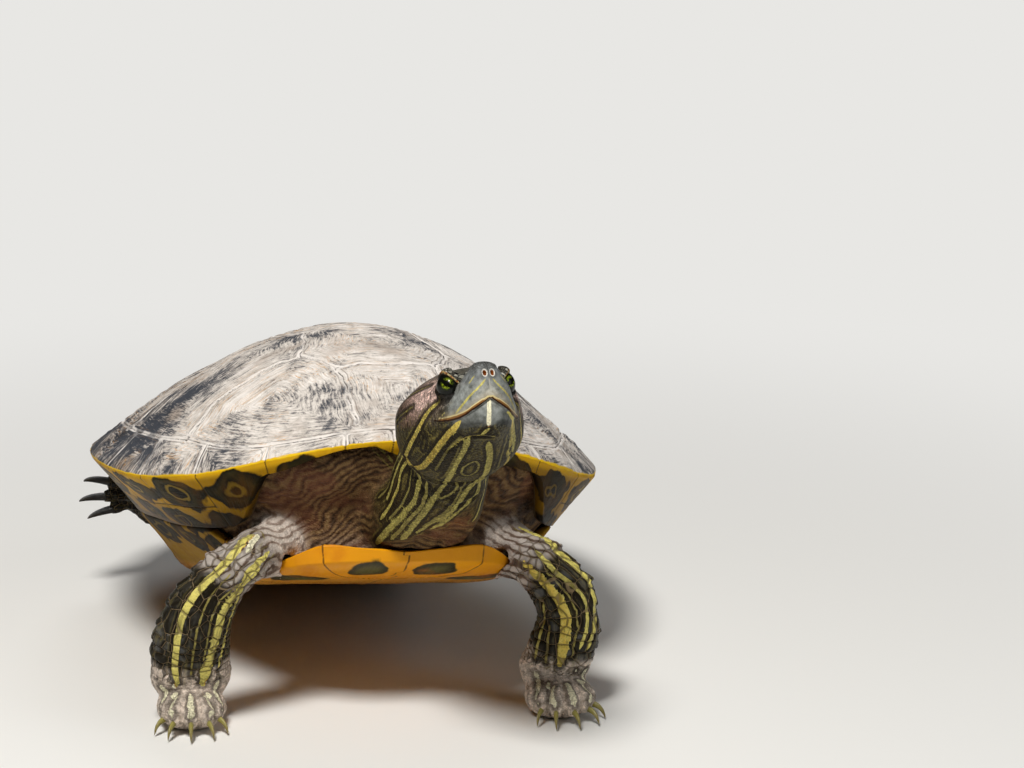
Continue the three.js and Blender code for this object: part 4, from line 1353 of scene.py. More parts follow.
def raised_by_cells(piece):
    tree = bpy.data.node_groups.new("raise_scales", "GeometryNodeTree")
    for way in ("INPUT", "OUTPUT"):
        tree.interface.new_socket("Geometry", in_out=way, socket_type="NodeSocketGeometry")
    chain = Chain(tree)
    start, end = tree.nodes.new("NodeGroupInput"), tree.nodes.new("NodeGroupOutput")
    lie_at = chain.add("GeometryNodeInputNamedAttribute", Name="lie", data_type="FLOAT_VECTOR")
    tall = chain.add("GeometryNodeInputNamedAttribute", Name="armour", data_type="FLOAT")
    crease = chain.cells(lie_at, disorder=SCALE_DISORDER, feature="DISTANCE_TO_EDGE")
    height = chain.between(crease, 0.0, CREASE_WIDTH) * tall * MM
    offset = chain.scaled(chain.add("GeometryNodeInputNormal"), height)
    moved = chain.add("GeometryNodeSetPosition", Geometry=Value(chain, start.outputs[0]), Offset=offset)
    chain.feed(end.inputs[0], moved)
    modifier = piece.modifiers.new("scales", "NODES")
    modifier.node_group = tree
    select_only(piece)
    bpy.ops.object.modifier_apply(modifier="scales")


room = points_of(skin)
normals = normals_of(skin)
around_neck = np.arctan2(straight[:, 1], straight[:, 0])
neck_part = begins(parts, "neck")
folds = np.where(neck_part, 0.35 * np.sin(9 * around_neck + 1.6 * ripple(room, 22, 41)), 0)
folds += 0.55 * ripple(room * (1, 1, 2.2), 12, 42) * begins(parts, "trunk", "upper_arm", "thigh")
folds += 0.5 * ripple(room * (1, 1, 2.5), 6, 43) * begins(parts, "trunk")
folds = evened(folds, edges_of(skin), 3)
store(skin, "lie", lie)
store(skin, "armour", armour)
set_points(skin, room + normals * (folds - 0.25 * armour / 0.45)[:, None])
raised_by_cells(skin)
print("scales raised on", int((armour > 0.1).sum()), "points")

# %% Thin the skin where it is plain
MOST_TRIANGLES = 196000
skin.data.calc_loop_triangles()
modifier = skin.modifiers.new("thin", "DECIMATE")
modifier.ratio = min(1.0, MOST_TRIANGLES / len(skin.data.loop_triangles))
select_only(skin)
bpy.ops.object.modifier_apply(modifier="thin")
room = points_of(skin)
room[:, 2] = np.maximum(room[:, 2], 0.0)
set_points(skin, room)
print("the skin now has", len(skin.data.polygons), "faces")

# %% [markdown]
# ## Feet and claws
# Each foot is a palm with a fan of toes, and each toe ends in a long curved claw. Bending a cone by hand
# gives one good claw, but there are eighteen, each at its own angle. So one formula lays the rings of a
# sphere along a bent line that narrows to a point, and a loop places it on every toe.

# %% Lay the claws
CLAW_ROWS, CLAW_COLUMNS = 20, 16


def toe_points(foot, pose, toe, reach_and_height):
    """Points along one toe, from its distance out from the palm's middle and its height."""
    spot = 2 * toe / (foot["digits"] - 1) - 1
    angle = math.radians(foot["spread"] * (toe - (foot["digits"] - 1) / 2))
    tip = foot["reach"] - 3.5 * spot ** 2
    # The toes fan out, but each claw turns a little back towards the way the foot points.
    fan = [angle if r <= 0 else angle * (1 - 0.05 * r) for r, h in reach_and_height]
    out = [(math.sin(angle) * tip + math.sin(a) * r, -math.cos(angle) * tip - math.cos(a) * r, h)
           for a, (r, h) in zip(fan, reach_and_height)]
    across = np.array((pose.to_3x3() @ Vector((math.cos(angle), math.sin(angle), 0))))
    return carried(out, pose), across


def lay_claw(middle, across, width):
    def lay(angle):
        t = (np.arange(CLAW_ROWS + 1) / CLAW_ROWS)[:, None]
        bend = lerp(lerp(middle[0], middle[1], t), lerp(middle[1], middle[2], t), t)
        tangent = np.gradient(bend, axis=0)
        tangent /= np.linalg.norm(tangent, axis=1, keepdims=True)
        up = np.cross(tangent, across)
        round_root = np.sqrt(np.clip(1 - (1 - 2 * np.minimum(t, 0.12) / 0.24) ** 2, 0, 1))
        size = width * round_root * (1 - t ** 1.6) ** 0.75
        sideways = across * (size * np.cos(angle) * 0.85)[..., None]
        keeled = size * (np.sin(angle) + 0.18 * np.maximum(0, np.sin(angle)) ** 8)
        return bend[:, None, :] + sideways + up[:, None, :] * keeled[..., None]
    return lay


CLAW_SHAPES = {"fore": [(-4.5, 4.9), (4.4, 7.0), (6.2, 0.5)], "hind": [(-4.5, 4.6), (5.0, 6.2), (9.6, 1.0)]}
CLAW_WIDTHS = {"fore": 1.3, "hind": 1.9}


def lay_claws(name):
    foot, origin, heading, tilt = FEET[name]
    pose = foot_frame(origin, heading, tilt)
    kind = "fore" if foot is FORE else "hind"
    claws = []
    for toe in range(foot["digits"]):
        middle, across = toe_points(foot, pose, toe, CLAW_SHAPES[kind])
        lay = lay_claw(middle, across, CLAW_WIDTHS[kind])
        claw, grid, spots = laid_sphere(CLAW_COLUMNS, CLAW_ROWS, lay)
        points = grid[spots]
        points[:, 2] = np.maximum(points[:, 2], 0.1)
        set_points(claw, points)
        store(claw, "along", spots[0] / CLAW_ROWS)
        claws.append(claw)
    bpy.ops.object.select_all(action="DESELECT")
    for claw in claws:
        claw.select_set(True)
    bpy.ops.object.join()
    select_only(bpy.context.object)
    bpy.ops.object.mode_set(mode="EDIT")
    bpy.ops.mesh.select_all(action="SELECT")
    bpy.ops.mesh.normals_make_consistent(inside=False)
    bpy.ops.object.mode_set(mode="OBJECT")
    return bpy.context.object


def claw_finish(name, root, middle, tip):
    f = Finish(name, Specular_IOR_Level=0.5)
    at_point = f.place()
    along = f.attribute("along")
    grain = f.noise(at_point, 900, 4)
    colour = f.ramp(along + grain * 0.12, (0.1, root), (0.5, middle), (0.95, tip))
    return f.done(colour, f.between(grain, 0.3, 0.7, 0.28, 0.42), grain, 0.25)


pale_claw = claw_finish("pale_claw", paint(78, 72, 46), paint(146, 138, 72), paint(120, 106, 60))
# The hind claws are mixed near-black, partly as painted shade under the rim.
dark_claw = claw_finish("dark_claw", paint(40, 38, 34), paint(34, 34, 34), paint(58, 54, 48))
for name, (foot, *_) in FEET.items():
    claws = lay_claws(name)
    nodes = [f"claw_{name}_{toe + 1}" for toe in range(foot["digits"])]
    finished(claws, f"claws_{name}", pale_claw if foot is FORE else dark_claw, "claw", *nodes)

# %% [markdown]
# ## Eyes
# A slider's iris is bright green and yellow, crossed by a dark bar through a round pupil, and the rest of
# the ball that shows between the lids is nearly black. A sphere is turned so that its pole looks out
# along the gaze, raised a little over the iris for the cornea, and painted by distance from the pole.

# %% Turn and paint the eyes
PUPIL_WAY = np.array([0.50, -0.86, 0.05])


def make_eye(side):
    bpy.ops.object.select_all(action="DESELECT")
    bpy.ops.mesh.primitive_uv_sphere_add(segments=64, ring_count=48, radius=EYE_RADIUS * MM)
    eye = bpy.context.object
    look = points_of(eye)
    from_pole = np.hypot(look[:, 0], look[:, 1])
    cornea = np.where(look[:, 2] > 0, 0.32 * (1 - smoothstep(from_pole, 1.4, 3.6)), 0)
    along, up, out = eye_axes(side, PUPIL_WAY)
    axes = np.stack([along, up, out])
    local = look * (1 + cornea / EYE_RADIUS)[:, None] @ axes + eye_centre(side)
    set_points(eye, carried(local, HEAD_FRAME))
    store(eye, "look", look * (-side, 1, 1))
    return eye


def eye_finish():
    f = Finish("wet_eye", Specular_IOR_Level=0.1, Coat_Weight=0.16, Coat_Roughness=0.04)
    look = f.attribute("look", 1)
    x, y, z = f.split(look)
    flat = f.add("CombineXYZ", x, y, 0.0)
    radius = f.length(flat)
    spokes = f.noise(f.vector("NORMALIZE", flat), 7.0, 4, 0.7, 0.4)
    fleck = f.noise(look, 1.6, 4, 0.65, 0.6)
    ring = radius + (spokes - 0.5) * 0.7
    iris = f.ramp(ring / 5.0, (0.19, paint(6, 7, 5)), (0.23, paint(118, 132, 26)),
                  (0.31, paint(130, 144, 30)), (0.38, paint(62, 76, 18)), (0.47, paint(24, 28, 10)),
                  (0.54, paint(12, 12, 9)), (0.8, paint(8, 8, 7)))
    iris = f.mix(f.between(fleck, 0.47, 0.56, 0.0, 0.9), iris, paint(16, 20, 8))
    tilted = y + x * 0.42
    bar = abs(tilted + (fleck - 0.5) * 1.2)
    iris = f.mix(f.between(bar, 0.85, 0.55), iris, paint(12, 13, 8))
    colour = f.mix(f.between(z, 0.2, 0.6), paint(9, 8, 7), iris)
    return f.done(colour, 0.18, fleck, 0.03)


wet_eye = eye_finish()
for side, name in ((-1, "right"), (1, "left")):
    finished(make_eye(side), f"eyeball_{name}", wet_eye, "eye", f"eye_{name}")

# %% [markdown]
# ## Markings
# Yellow lines run over the dark skin of head, neck and legs. They could be painted as an image, but an
# image blurs when it is looked at closely, and needs an unwrapped skin. Here each line is a few points
# laid on the skin. Every point of the skin learns the way to its nearest line and half the width of that
# line, so the paint can draw a sharp edge anywhere.

# %% Draw the lines of the head, the neck and the legs
# Each line: its corners in the head's frame, half its width at each end, and its hue, which runs from
# 0, olive, to 1, orange, and beyond 1 is cream.
HEAD_LINES = [
    ([(0.5, 0.4, 7.4), (-1.9, 0.4, 4.6), (-5.2, 1.8, 2.2), (-8.2, 4.7, -0.5), (-10, 8, -2.8),
      (-10.8, 9.9, -3.8)], 0.3, 0.5, 0.35),
    ([(-10.8, 8.8, 2.5), (-12, 11.8, 0.6), (-13.1, 15.4, -1.9), (-13.7, 17.4, -3.6)], 0.25, 0.25, 0.25),
    ([(-3.6, 1.7, 9.2), (-5.7, 2.3, 7.1), (-6.7, 3, 6)], 0.22, 0.22, 0.35),
    ([(-13.0, 15.2, 4.4), (-14.5, 18.4, 2.8), (-15.9, 21.8, 0.8), (-17.3, 25.9, -1.8),
      (-18.5, 29.6, -4.8), (-19.2, 33.6, -7.1), (-19.9, 38.9, -9.4), (-19.6, 46.6, -11.1)],
      0.65, 0.8, 0.55),
    ([(-8.9, 8.1, -6.2), (-9.8, 12.3, -7.8), (-11.1, 17.9, -9.4), (-12.3, 23.9, -11.3),
      (-13.5, 30.2, -13.4), (-14.5, 35.7, -15.1), (-15.2, 41.9, -16), (-16.2, 48, -15.3),
      (-18, 49.4, -13.3), (-19.6, 46.6, -11.1)], 1.05, 1.2, 0.6),
    ([(-16.5, 26.9, -6.7), (-16.5, 29.4, -9.3), (-16.5, 33.3, -11.7)], 0.35, 0.35, 0.0),
    ([(-6.6, 13, -10.2), (-8.2, 17, -11.6), (-9.6, 23.3, -13), (-10.4, 31.2, -15.2), (-11, 40, -17.4)],
      0.45, 0.4, 0.15),
    ([(-6, 24, 15.5), (-8.5, 33, 17.4), (-9.5, 44, 17), (-9, 55, 13)], 0.3, 0.5, 0.15),
    ([(-15, 24, 12), (-18.5, 34, 11), (-20, 44, 9), (-18, 54, 7)], 0.3, 0.5, 0.2),
    ([(-19.5, 30, 4), (-21.5, 38, 2.5), (-21.5, 47, 1), (-18.5, 55, -1)], 0.3, 0.4, 0.1),
]
THROAT_LINES = [
    ([(-10.1, 25.3, -13.8), (-8.9, 21.2, -12.9), (-7.3, 15.7, -12), (-5.3, 11.1, -11.8),
      (-2.1, 8.3, -11.9), (1.8, 8, -12), (4.5, 8.6, -12)], 0.3, 0.22, 0.55),
    ([(-10.4, 56.0, -17.8), (-9.7, 60.6, -21.3), (-9.9, 68.7, -25.1), (-12.4, 84.3, -28.2),
      (-13.4, 96, -30.3), (-14.4, 107, -32)], 0.6, 0.75, 0.3),
    ([(2.9, 50.8, -20.0), (1.1, 59.2, -24.0), (-1.0, 65.6, -27.3), (-4.0, 77.9, -31.6),
      (-5.9, 88.1, -34.1)], 0.5, 0.7, 0.2),
    ([(9.3, 49.1, -18.6), (9.2, 61.1, -21.3), (7.3, 64.2, -24.6), (3.4, 71.1, -29.2),
      (-0.6, 81.6, -33.5), (-2.4, 90, -36)], 0.8, 1.0, 0.35),
    ([(-16, 56, -8), (-16.5, 68.7, -12.2), (-16.3, 76.3, -17.4), (-16.4, 90.8, -20.8),
      (-17.5, 104.1, -23.7)], 0.6, 1.0, 0.5),
    ([(-15.6, 60, -13.2), (-14.5, 68.2, -19.0), (-15.0, 79.6, -22.9), (-16.2, 96.7, -25.1)],
      0.35, 0.45, 0.3),
    ([(-6.7, 18.6, -13.6), (-6.9, 26.6, -15.9), (-7.4, 36.1, -18.7), (-7.4, 48, -19.2)],
      0.35, 0.4, 0.1),
    ([(0.9, 0.6, 0.3), (0.7, 1.6, -4.4), (0.5, 3.4, -10)], 0.7, 0.85, 1.25),
    ([(7.6, 4.4, -3), (10.1, 10.4, -5.8), (12.7, 18.8, -7.5), (15.2, 27.9, -10.2), (16.2, 35.4, -13.1)],
      0.9, 1.0, 0.4),
    ([(9.4, 10, -8), (11.4, 18, -10), (13.4, 28, -12.6), (14.4, 38, -15.4)], 0.3, 0.4, 0.2),
    ([(1.2, 4.3, -9.9), (-0.3, 5.4, -11.2), (-1.6, 7.7, -11.9)], 1.0, 0.8, 0.45),
    ([(-4.9, 11.2, -11.9), (-4.8, 18.2, -14), (-5.2, 24.8, -15.8), (-5.9, 31.5, -17.6),
      (-5.5, 42, -19.4), (-4.5, 52.5, -20), (-6.7, 60.2, -23.1), (-8.6, 72, -27.4), (-9.8, 84.7, -30.9),
      (-10.6, 94, -32.6), (-11.4, 104, -34)], 1.0, 1.05, 0.36),
    ([(2.1, 12, -13.1), (4.5, 20.9, -14.9), (6.1, 28.9, -16.8), (7, 40, -18.8), (7.9, 51.9, -19.1),
      (4, 58.5, -22.8), (1.5, 65.6, -27.2), (-1.4, 73.6, -30.8), (-4.6, 83.3, -33.3), (-7.2, 93, -35)],
      1.2, 1.1, 0.34),
    ([(-18.9, 50.7, -11.7), (-14.9, 53.4, -15.9), (-12.3, 62.8, -19.9), (-12.5, 70.9, -23.5),
      (-14.3, 87.2, -26.3), (-16, 101.8, -28.2), (-16.9, 118, -30.5)], 0.8, 1.2, 0.4),
    ([(-16.3, 58, -4), (-17, 72, -8.6), (-17.3, 84, -14), (-17.8, 97, -18)], 0.5, 0.8, 0.35),
    ([(15, 52, -14), (13, 64, -19), (13, 76, -25), (12, 86, -29)], 0.6, 0.7, 0.5),
    ([(-4.5, 52.5, -19.9), (-6.6, 57.8, -21.8), (-5.2, 61.5, -24.6), (-1.9, 58.8, -23.6),
      (0.2, 54.3, -21.2), (-1.9, 49.4, -19.9), (-4.5, 52.5, -19.9)], 0.45, 0.45, 0.3),
    ([(0.4, 27, -16.6), (-2.6, 31, -17.6), (-2.8, 37, -18.9), (0.6, 40, -19.4), (3, 36, -18.6),
      (2.6, 30, -17.2), (0.4, 27, -16.6)], 0.4, 0.4, 0.25),
]
LIP_LINE = [(1.4, 0.8, 1.2), (0.2, 0.8, 0.1), (-3.4, 1.3, -1.9), (-7.2, 3.4, -3.8), (-10.5, 8, -4.9),
            (-12.9, 14, -4.5), (-14.6, 18.2, -3.7)]
# Lines of the legs, in the room.
LEG_LINES = [
    ([(-56, -65, 72), (-61, -68, 70), (-70, -73, 63), (-78, -73, 56), (-84, -72, 46), (-85, -71, 41),
      (-86, -70, 34), (-86, -66, 25), (-84, -62, 17)], 1.7, 1.1, 0.4),
    ([(-51, -71, 68), (-59, -74, 62), (-67, -75, 51), (-70, -75, 46), (-71, -73, 39), (-73, -70, 31),
      (-75, -65, 21), (-76, -62, 16)], 1.2, 2.4, 0.42),
    ([(-66, -75, 62), (-74, -75, 54), (-77, -75, 48), (-79, -73, 40), (-80, -70, 30), (-80, -65, 21)],
      0.35, 0.4, 0.15),
    ([(-63, -75, 58), (-71, -76, 52), (-74, -75, 45), (-75, -72, 36), (-76, -68, 27)],
      0.35, 0.35, 0.15),
    ([(-55, -74, 63), (-62, -74, 55), (-66, -72, 46), (-67, -70, 38), (-68, -68, 30), (-70, -64, 22)],
      0.6, 0.5, 0.45),
    ([(45, -63, 68), (48, -65, 66), (51, -68, 65), (56, -74, 61), (62, -77, 56), (67, -80, 51),
      (70, -82, 45), (71, -84, 38), (69, -86, 32), (65, -86, 24)], 1.8, 1.0, 0.45),
    ([(48, -75, 62), (55, -81, 54), (62, -85, 49), (66, -85, 42), (65, -88, 33), (62, -87, 25)],
      0.9, 0.7, 0.4),
    ([(52, -84, 36), (51, -84, 28), (50, -84, 20)], 0.45, 0.5, 0.25),
    ([(61, -86, 42), (61, -87, 33), (59, -86, 22)], 0.35, 0.4, 0.2),
    ([(-54, -66, 74), (-57, -69, 71), (-60, -72, 68)], 1.3, 1.0, 1.2),
    ([(42, -77, 58), (46, -79, 55), (51, -82, 50), (55, -85, 45), (57, -86, 40), (57, -87, 33),
      (56, -86, 26), (55, -84, 19)], 1.3, 2.3, 0.6),
    ([(50, -80, 57), (54, -83, 52), (59, -86, 46), (61, -87, 40)], 0.35, 0.35, 0.2),
    ([(50, -81, 44), (50, -82, 37), (48, -82, 29), (47, -81, 21)], 0.5, 0.6, 0.3),
]
# Lines that follow a limb at one angle round it: limb, degrees, start and end as shares, half-width, hue.
FOLLOWING = [("neck", d, 0.42, 1.0, 0.55, 0.25) for d in (-160, -128, -100, -72, -44, -14, 14)]
FOLLOWING += [(f"foreleg_{side}", d, 0.42, 0.9, 0.45, 0.3) for side in SIDES for d in (-62, -25, 12, 50)]
# The right hind leg's stripes are mixed duller than the left's, partly as painted shade under the rim.
FOLLOWING += [("hindleg_right", d, 0.3, 0.95, 0.5, 0.1) for d in (-150, -95, -40, 20, 75, 130)]
FOLLOWING += [("hindleg_left", d, 0.3, 0.9, 0.6, 0.35) for d in (-150, -95, -40, 20, 75, 130)]
FOLLOWING += [("tail", d, 0.2, 0.97, 0.55, 0.35) for d in (-135, -50, 50, 135)]


def gathered(surface, lines):
    """All lines laid on the skin as close samples, each with the line's half-width and hue there."""
    samples, widths, hues = [], [], []
    for line, first, last, hue in lines:
        laid = laid_on(surface, line)
        samples.append(laid)
        from_end = np.minimum(np.arange(len(laid)), np.arange(len(laid))[::-1]) * 0.35 / max(first, last)
        closed = np.linalg.norm(line[0] - line[-1]) < 1.0
        taper = 1.0 if closed else np.clip(0.3 + from_end / (1.2 if hue > 1 else 4.5), 0, 1)
        widths.append(np.linspace(first, last, len(laid)) * taper)
        hues.append(np.full(len(laid), hue))
    return np.concatenate(samples), np.concatenate(widths), np.concatenate(hues)


surface = surface_of(skin)
lines = []
for corners, *rest in HEAD_LINES:
    lines += [(carried(curve(way), HEAD_FRAME), *rest) for way in both_ways(corners)]
lines += [(carried(curve(corners), HEAD_FRAME), *rest) for corners, *rest in THROAT_LINES]
lines += [(curve(corners), *rest) for corners, *rest in LEG_LINES]
for limb, degrees, start, end, width, hue in FOLLOWING:
    whole = limb_lines[limb].along[-1]
    middle, outwards = limb_lines[limb].stripe(degrees, start * whole, end * whole)
    hits = [surface.ray_cast(Vector(m + o), Vector(-o)) for m, o in zip(middle, outwards)]
    line = np.array([hit[0] for hit in hits if hit[0] is not None])
    if limb == "neck":
        line = line[line[:, 2] > 84]
    lines.append((line, width, width, hue))
for side in SIDES:
    foot, origin, heading, tilt = FEET["foreleg_" + side]
    pose = foot_frame(origin, heading, tilt)
    back = np.array(pose.to_3x3() @ Vector((0, 1, 0)))
    for toe in range(foot["digits"]):
        end = toe_points(foot, pose, toe, [(-0.3, 8)])[0][0]
        down_toe = [end + back * 8.5 + (0, 0, 9), end + back * 4 + (0, 0, 4.5), end]
        lines.append((dense(down_toe, 0.4), 0.85, 1.15, 1.2))
room = points_of(skin)


def store_way(name, samples):
    """Tells each point of the skin how far the nearest sample is, and the way to it."""
    distance, away, which = nearest(room, samples)
    store(skin, name, distance)
    store(skin, name + "_way", away)
    return which


samples, widths, hues = gathered(surface, lines)
which = store_way("line", samples)
store(skin, "line_width", widths[which])
store(skin, "line_hue", hues[which])
for name, line in (("lip", LIP_LINE), ("mouth", MOUTH_LINE)):
    laid = [laid_on(surface, carried(curve(way), HEAD_FRAME)) for way in both_ways(line)]
    store_way(name, np.concatenate(laid))
print(len(lines), "lines laid on the skin in", len(samples), "samples")

# %% [markdown]
# ## Ground colours of the skin
# Under the lines each region has its own ground: grey beak, brown cheek with a dull pink patch where
# brighter sliders are red, olive-black neck, tan folds inside the shell, near-black hind feet, which are
# partly painted shade under the rim, and pale upper arms and forefeet, which are partly painted sunlight.
# They are mixed at the points of the skin, from the part each belongs to and its place on the head, and
# then blurred into each other.

# %% Mix the ground colours
# Upper arms and forefeet are paler, partly painted sunlight; hind feet near-black, partly painted shade.
GROUNDS = {
    "head": paint(112, 106, 90), "lower_jaw": paint(96, 90, 66), "neck": paint(72, 60, 34),
    "trunk": paint(140, 106, 76), "upper_arm": paint(150, 130, 108), "forearm": paint(46, 42, 32),
    "forefoot": paint(178, 162, 148), "thigh": paint(80, 68, 54), "shank": paint(48, 44, 36),
    "hind_foot": paint(30, 29, 27), "tail": paint(52, 46, 34),
}
parts = part_of(room)
ground = np.zeros((len(room), 3))
for name, colour in GROUNDS.items():
    ground[begins(parts, name)] = colour
edges = edges_of(skin)
ground = evened(ground, edges, 16)
in_head = brought(room, HEAD_FRAME)
offside = in_head[:, 0] - aside(in_head[:, 1])
side_of = np.abs(offside)
y, z = in_head[:, 1], in_head[:, 2]
near_head = (begins(parts, "head", "lower") | (begins(parts, "neck") & (y < 70))).astype(float)
store(skin, "on_head", np.stack([offside, y, np.where(near_head > 0, z, -90)], -1))


def tinted(colour, share, mask=near_head):
    global ground
    ground = lerp(ground, np.array(paint(*colour)), (np.clip(share, 0, 1) * mask)[:, None])


def patch(x0, y0, z0, *radii):
    return np.exp(-((side_of - x0) / radii[0]) ** 2 - ((y - y0) / radii[1]) ** 2
                  - ((z - z0) / radii[2]) ** 2)


tinted((104, 104, 98), smoothstep(z, 11, 15) * 0.8)
tinted((84, 64, 54), 1.3 * patch(20, 36, 2, 8, 12, 10))
tinted((150, 120, 108), 1.3 * patch(18, 31, 5, 6, 8, 7))
tinted((250, 214, 202), 1.6 * patch(15.5, 25, 6.5, 5.6, 7.5, 5.6))
tinted((16, 13, 6), 2.0 * patch(17, 31, -8.5, 7, 12, 4.4))
tinted((130, 134, 132), (1 - smoothstep(y, 12, 19)) * (1 - smoothstep(z, 5, 9)) * 0.95)
tinted((112, 116, 118), (1 - smoothstep(y, 8, 16)) * smoothstep(z, 4, 8) * 0.9)
tinted((158, 156, 146), 0.8 * bell(offside, 5) * bell(z - 1.5, 3.5) * (1 - smoothstep(y, 4, 8)))
tinted((62, 58, 38), smoothstep(-z + 0.2 * y, 9, 11) * (1 - smoothstep(y, 60, 70)) * 0.85)
tinted((24, 22, 18), bell(z + 8.6 - 0.1 * y, 1.2) * (1 - smoothstep(y, 9, 16)) * smoothstep(side_of, 1, 3)
       * 0.8)
tinted((74, 74, 70), bell(z + 4.2 + 0.2 * side_of, 1.6) * smoothstep(side_of, 2.5, 5)
       * (1 - smoothstep(y, 14, 18)) * 0.6)
base_of_neck = np.exp(-(np.linalg.norm((in_head - (6, 84, -36)) / (12, 11, 6), axis=1)) ** 2)
tinted((190, 104, 62), np.minimum(base_of_neck * 1.2, 0.85), 1.0)
for name in ("foreleg_right", "foreleg_left"):
    mine = np.isin(parts, LIMB_PARTS[name]).astype(float)
    share = limb_lines[name].straighten(room)[:, 2] / limb_lines[name].along[-1]
    # The shoulder and the forefoot are mixed pale, partly their own colour and partly painted sunlight.
    tinted((212, 196, 182), smoothstep(share, 0.24, 0.32) * (1 - smoothstep(share, 0.36, 0.43)), mine)
    tinted((54, 51, 44), smoothstep(share, 0.36, 0.43) * (1 - smoothstep(share, 0.825, 0.85)), mine)
    tinted((214, 198, 184), smoothstep(share, 0.83, 0.86), mine)
store(skin, "ground", ground)
# Where the front of the trunk and the upper arms get painted sunlight.
chest = smoothstep(-room[:, 1], 62, 84) * (1 - smoothstep(room[:, 2], 62, 74)) * begins(parts, "trunk")
chest = np.maximum(chest, 0.9 * begins(parts, "upper_arm"))
store(skin, "chest", evened(chest, edges, 10))
marble = begins(parts, "trunk").astype(float) + 0.75 * begins(parts, "upper_arm", "thigh")
right_of_neck = smoothstep(-in_head[:, 0], 16, 21) * smoothstep(y, 74, 94) * begins(parts, "neck")
marble = np.maximum(evened(marble, edges, 14), right_of_neck)
neck_end = smoothstep(y + 1.85 * in_head[:, 0], 79, 86) * smoothstep(-z, 27, 31) * begins(parts, "neck")
neck_end = evened(neck_end, edges, 3)
store(skin, "marble", np.maximum(marble, neck_end))
store(skin, "pale_foot", evened(begins(parts, "forefoot").astype(float), edges, 4))
beak = (1 - smoothstep(y, 11, 17)) * (1 - smoothstep(z, 9, 13)) * smoothstep(z, -9.4, -8.4) * near_head
store(skin, "beak", beak)
lids, brow, behind_lid = np.full(len(room), 9.0), np.zeros(len(room)), np.zeros(len(room))
for side in (-1, 1):
    along, up, out = eye_axes(side)
    way = in_head - eye_centre(side)
    far = np.linalg.norm(way, axis=1)
    unit = way / far[:, None]
    a, b = unit @ along * EYE_RADIUS * side, unit @ up * EYE_RADIUS
    opening = lid_opening(a, b) + np.where((unit @ out < 0.05) | (far > 9.5), 5, 0)
    here = opening < lids
    lids = np.where(here, opening, lids)
    brow = np.where(here, smoothstep(b, -0.6, 1.6), brow)
    behind_lid = np.where(here, smoothstep(a, 1.5, 4.0) * (1 - smoothstep(b, 0.5, 2.5)), behind_lid)
for name, values in (("lids", lids), ("brow", brow), ("behind_lid", behind_lid)):
    store(skin, name, values)
print("ground mixed for", len(ground), "points")


# %% Mix the paint of the skin
LINE_SLACK, LIP_SLACK = 0.35, 0.9
NEAR_BLACK = paint(24, 19, 9)


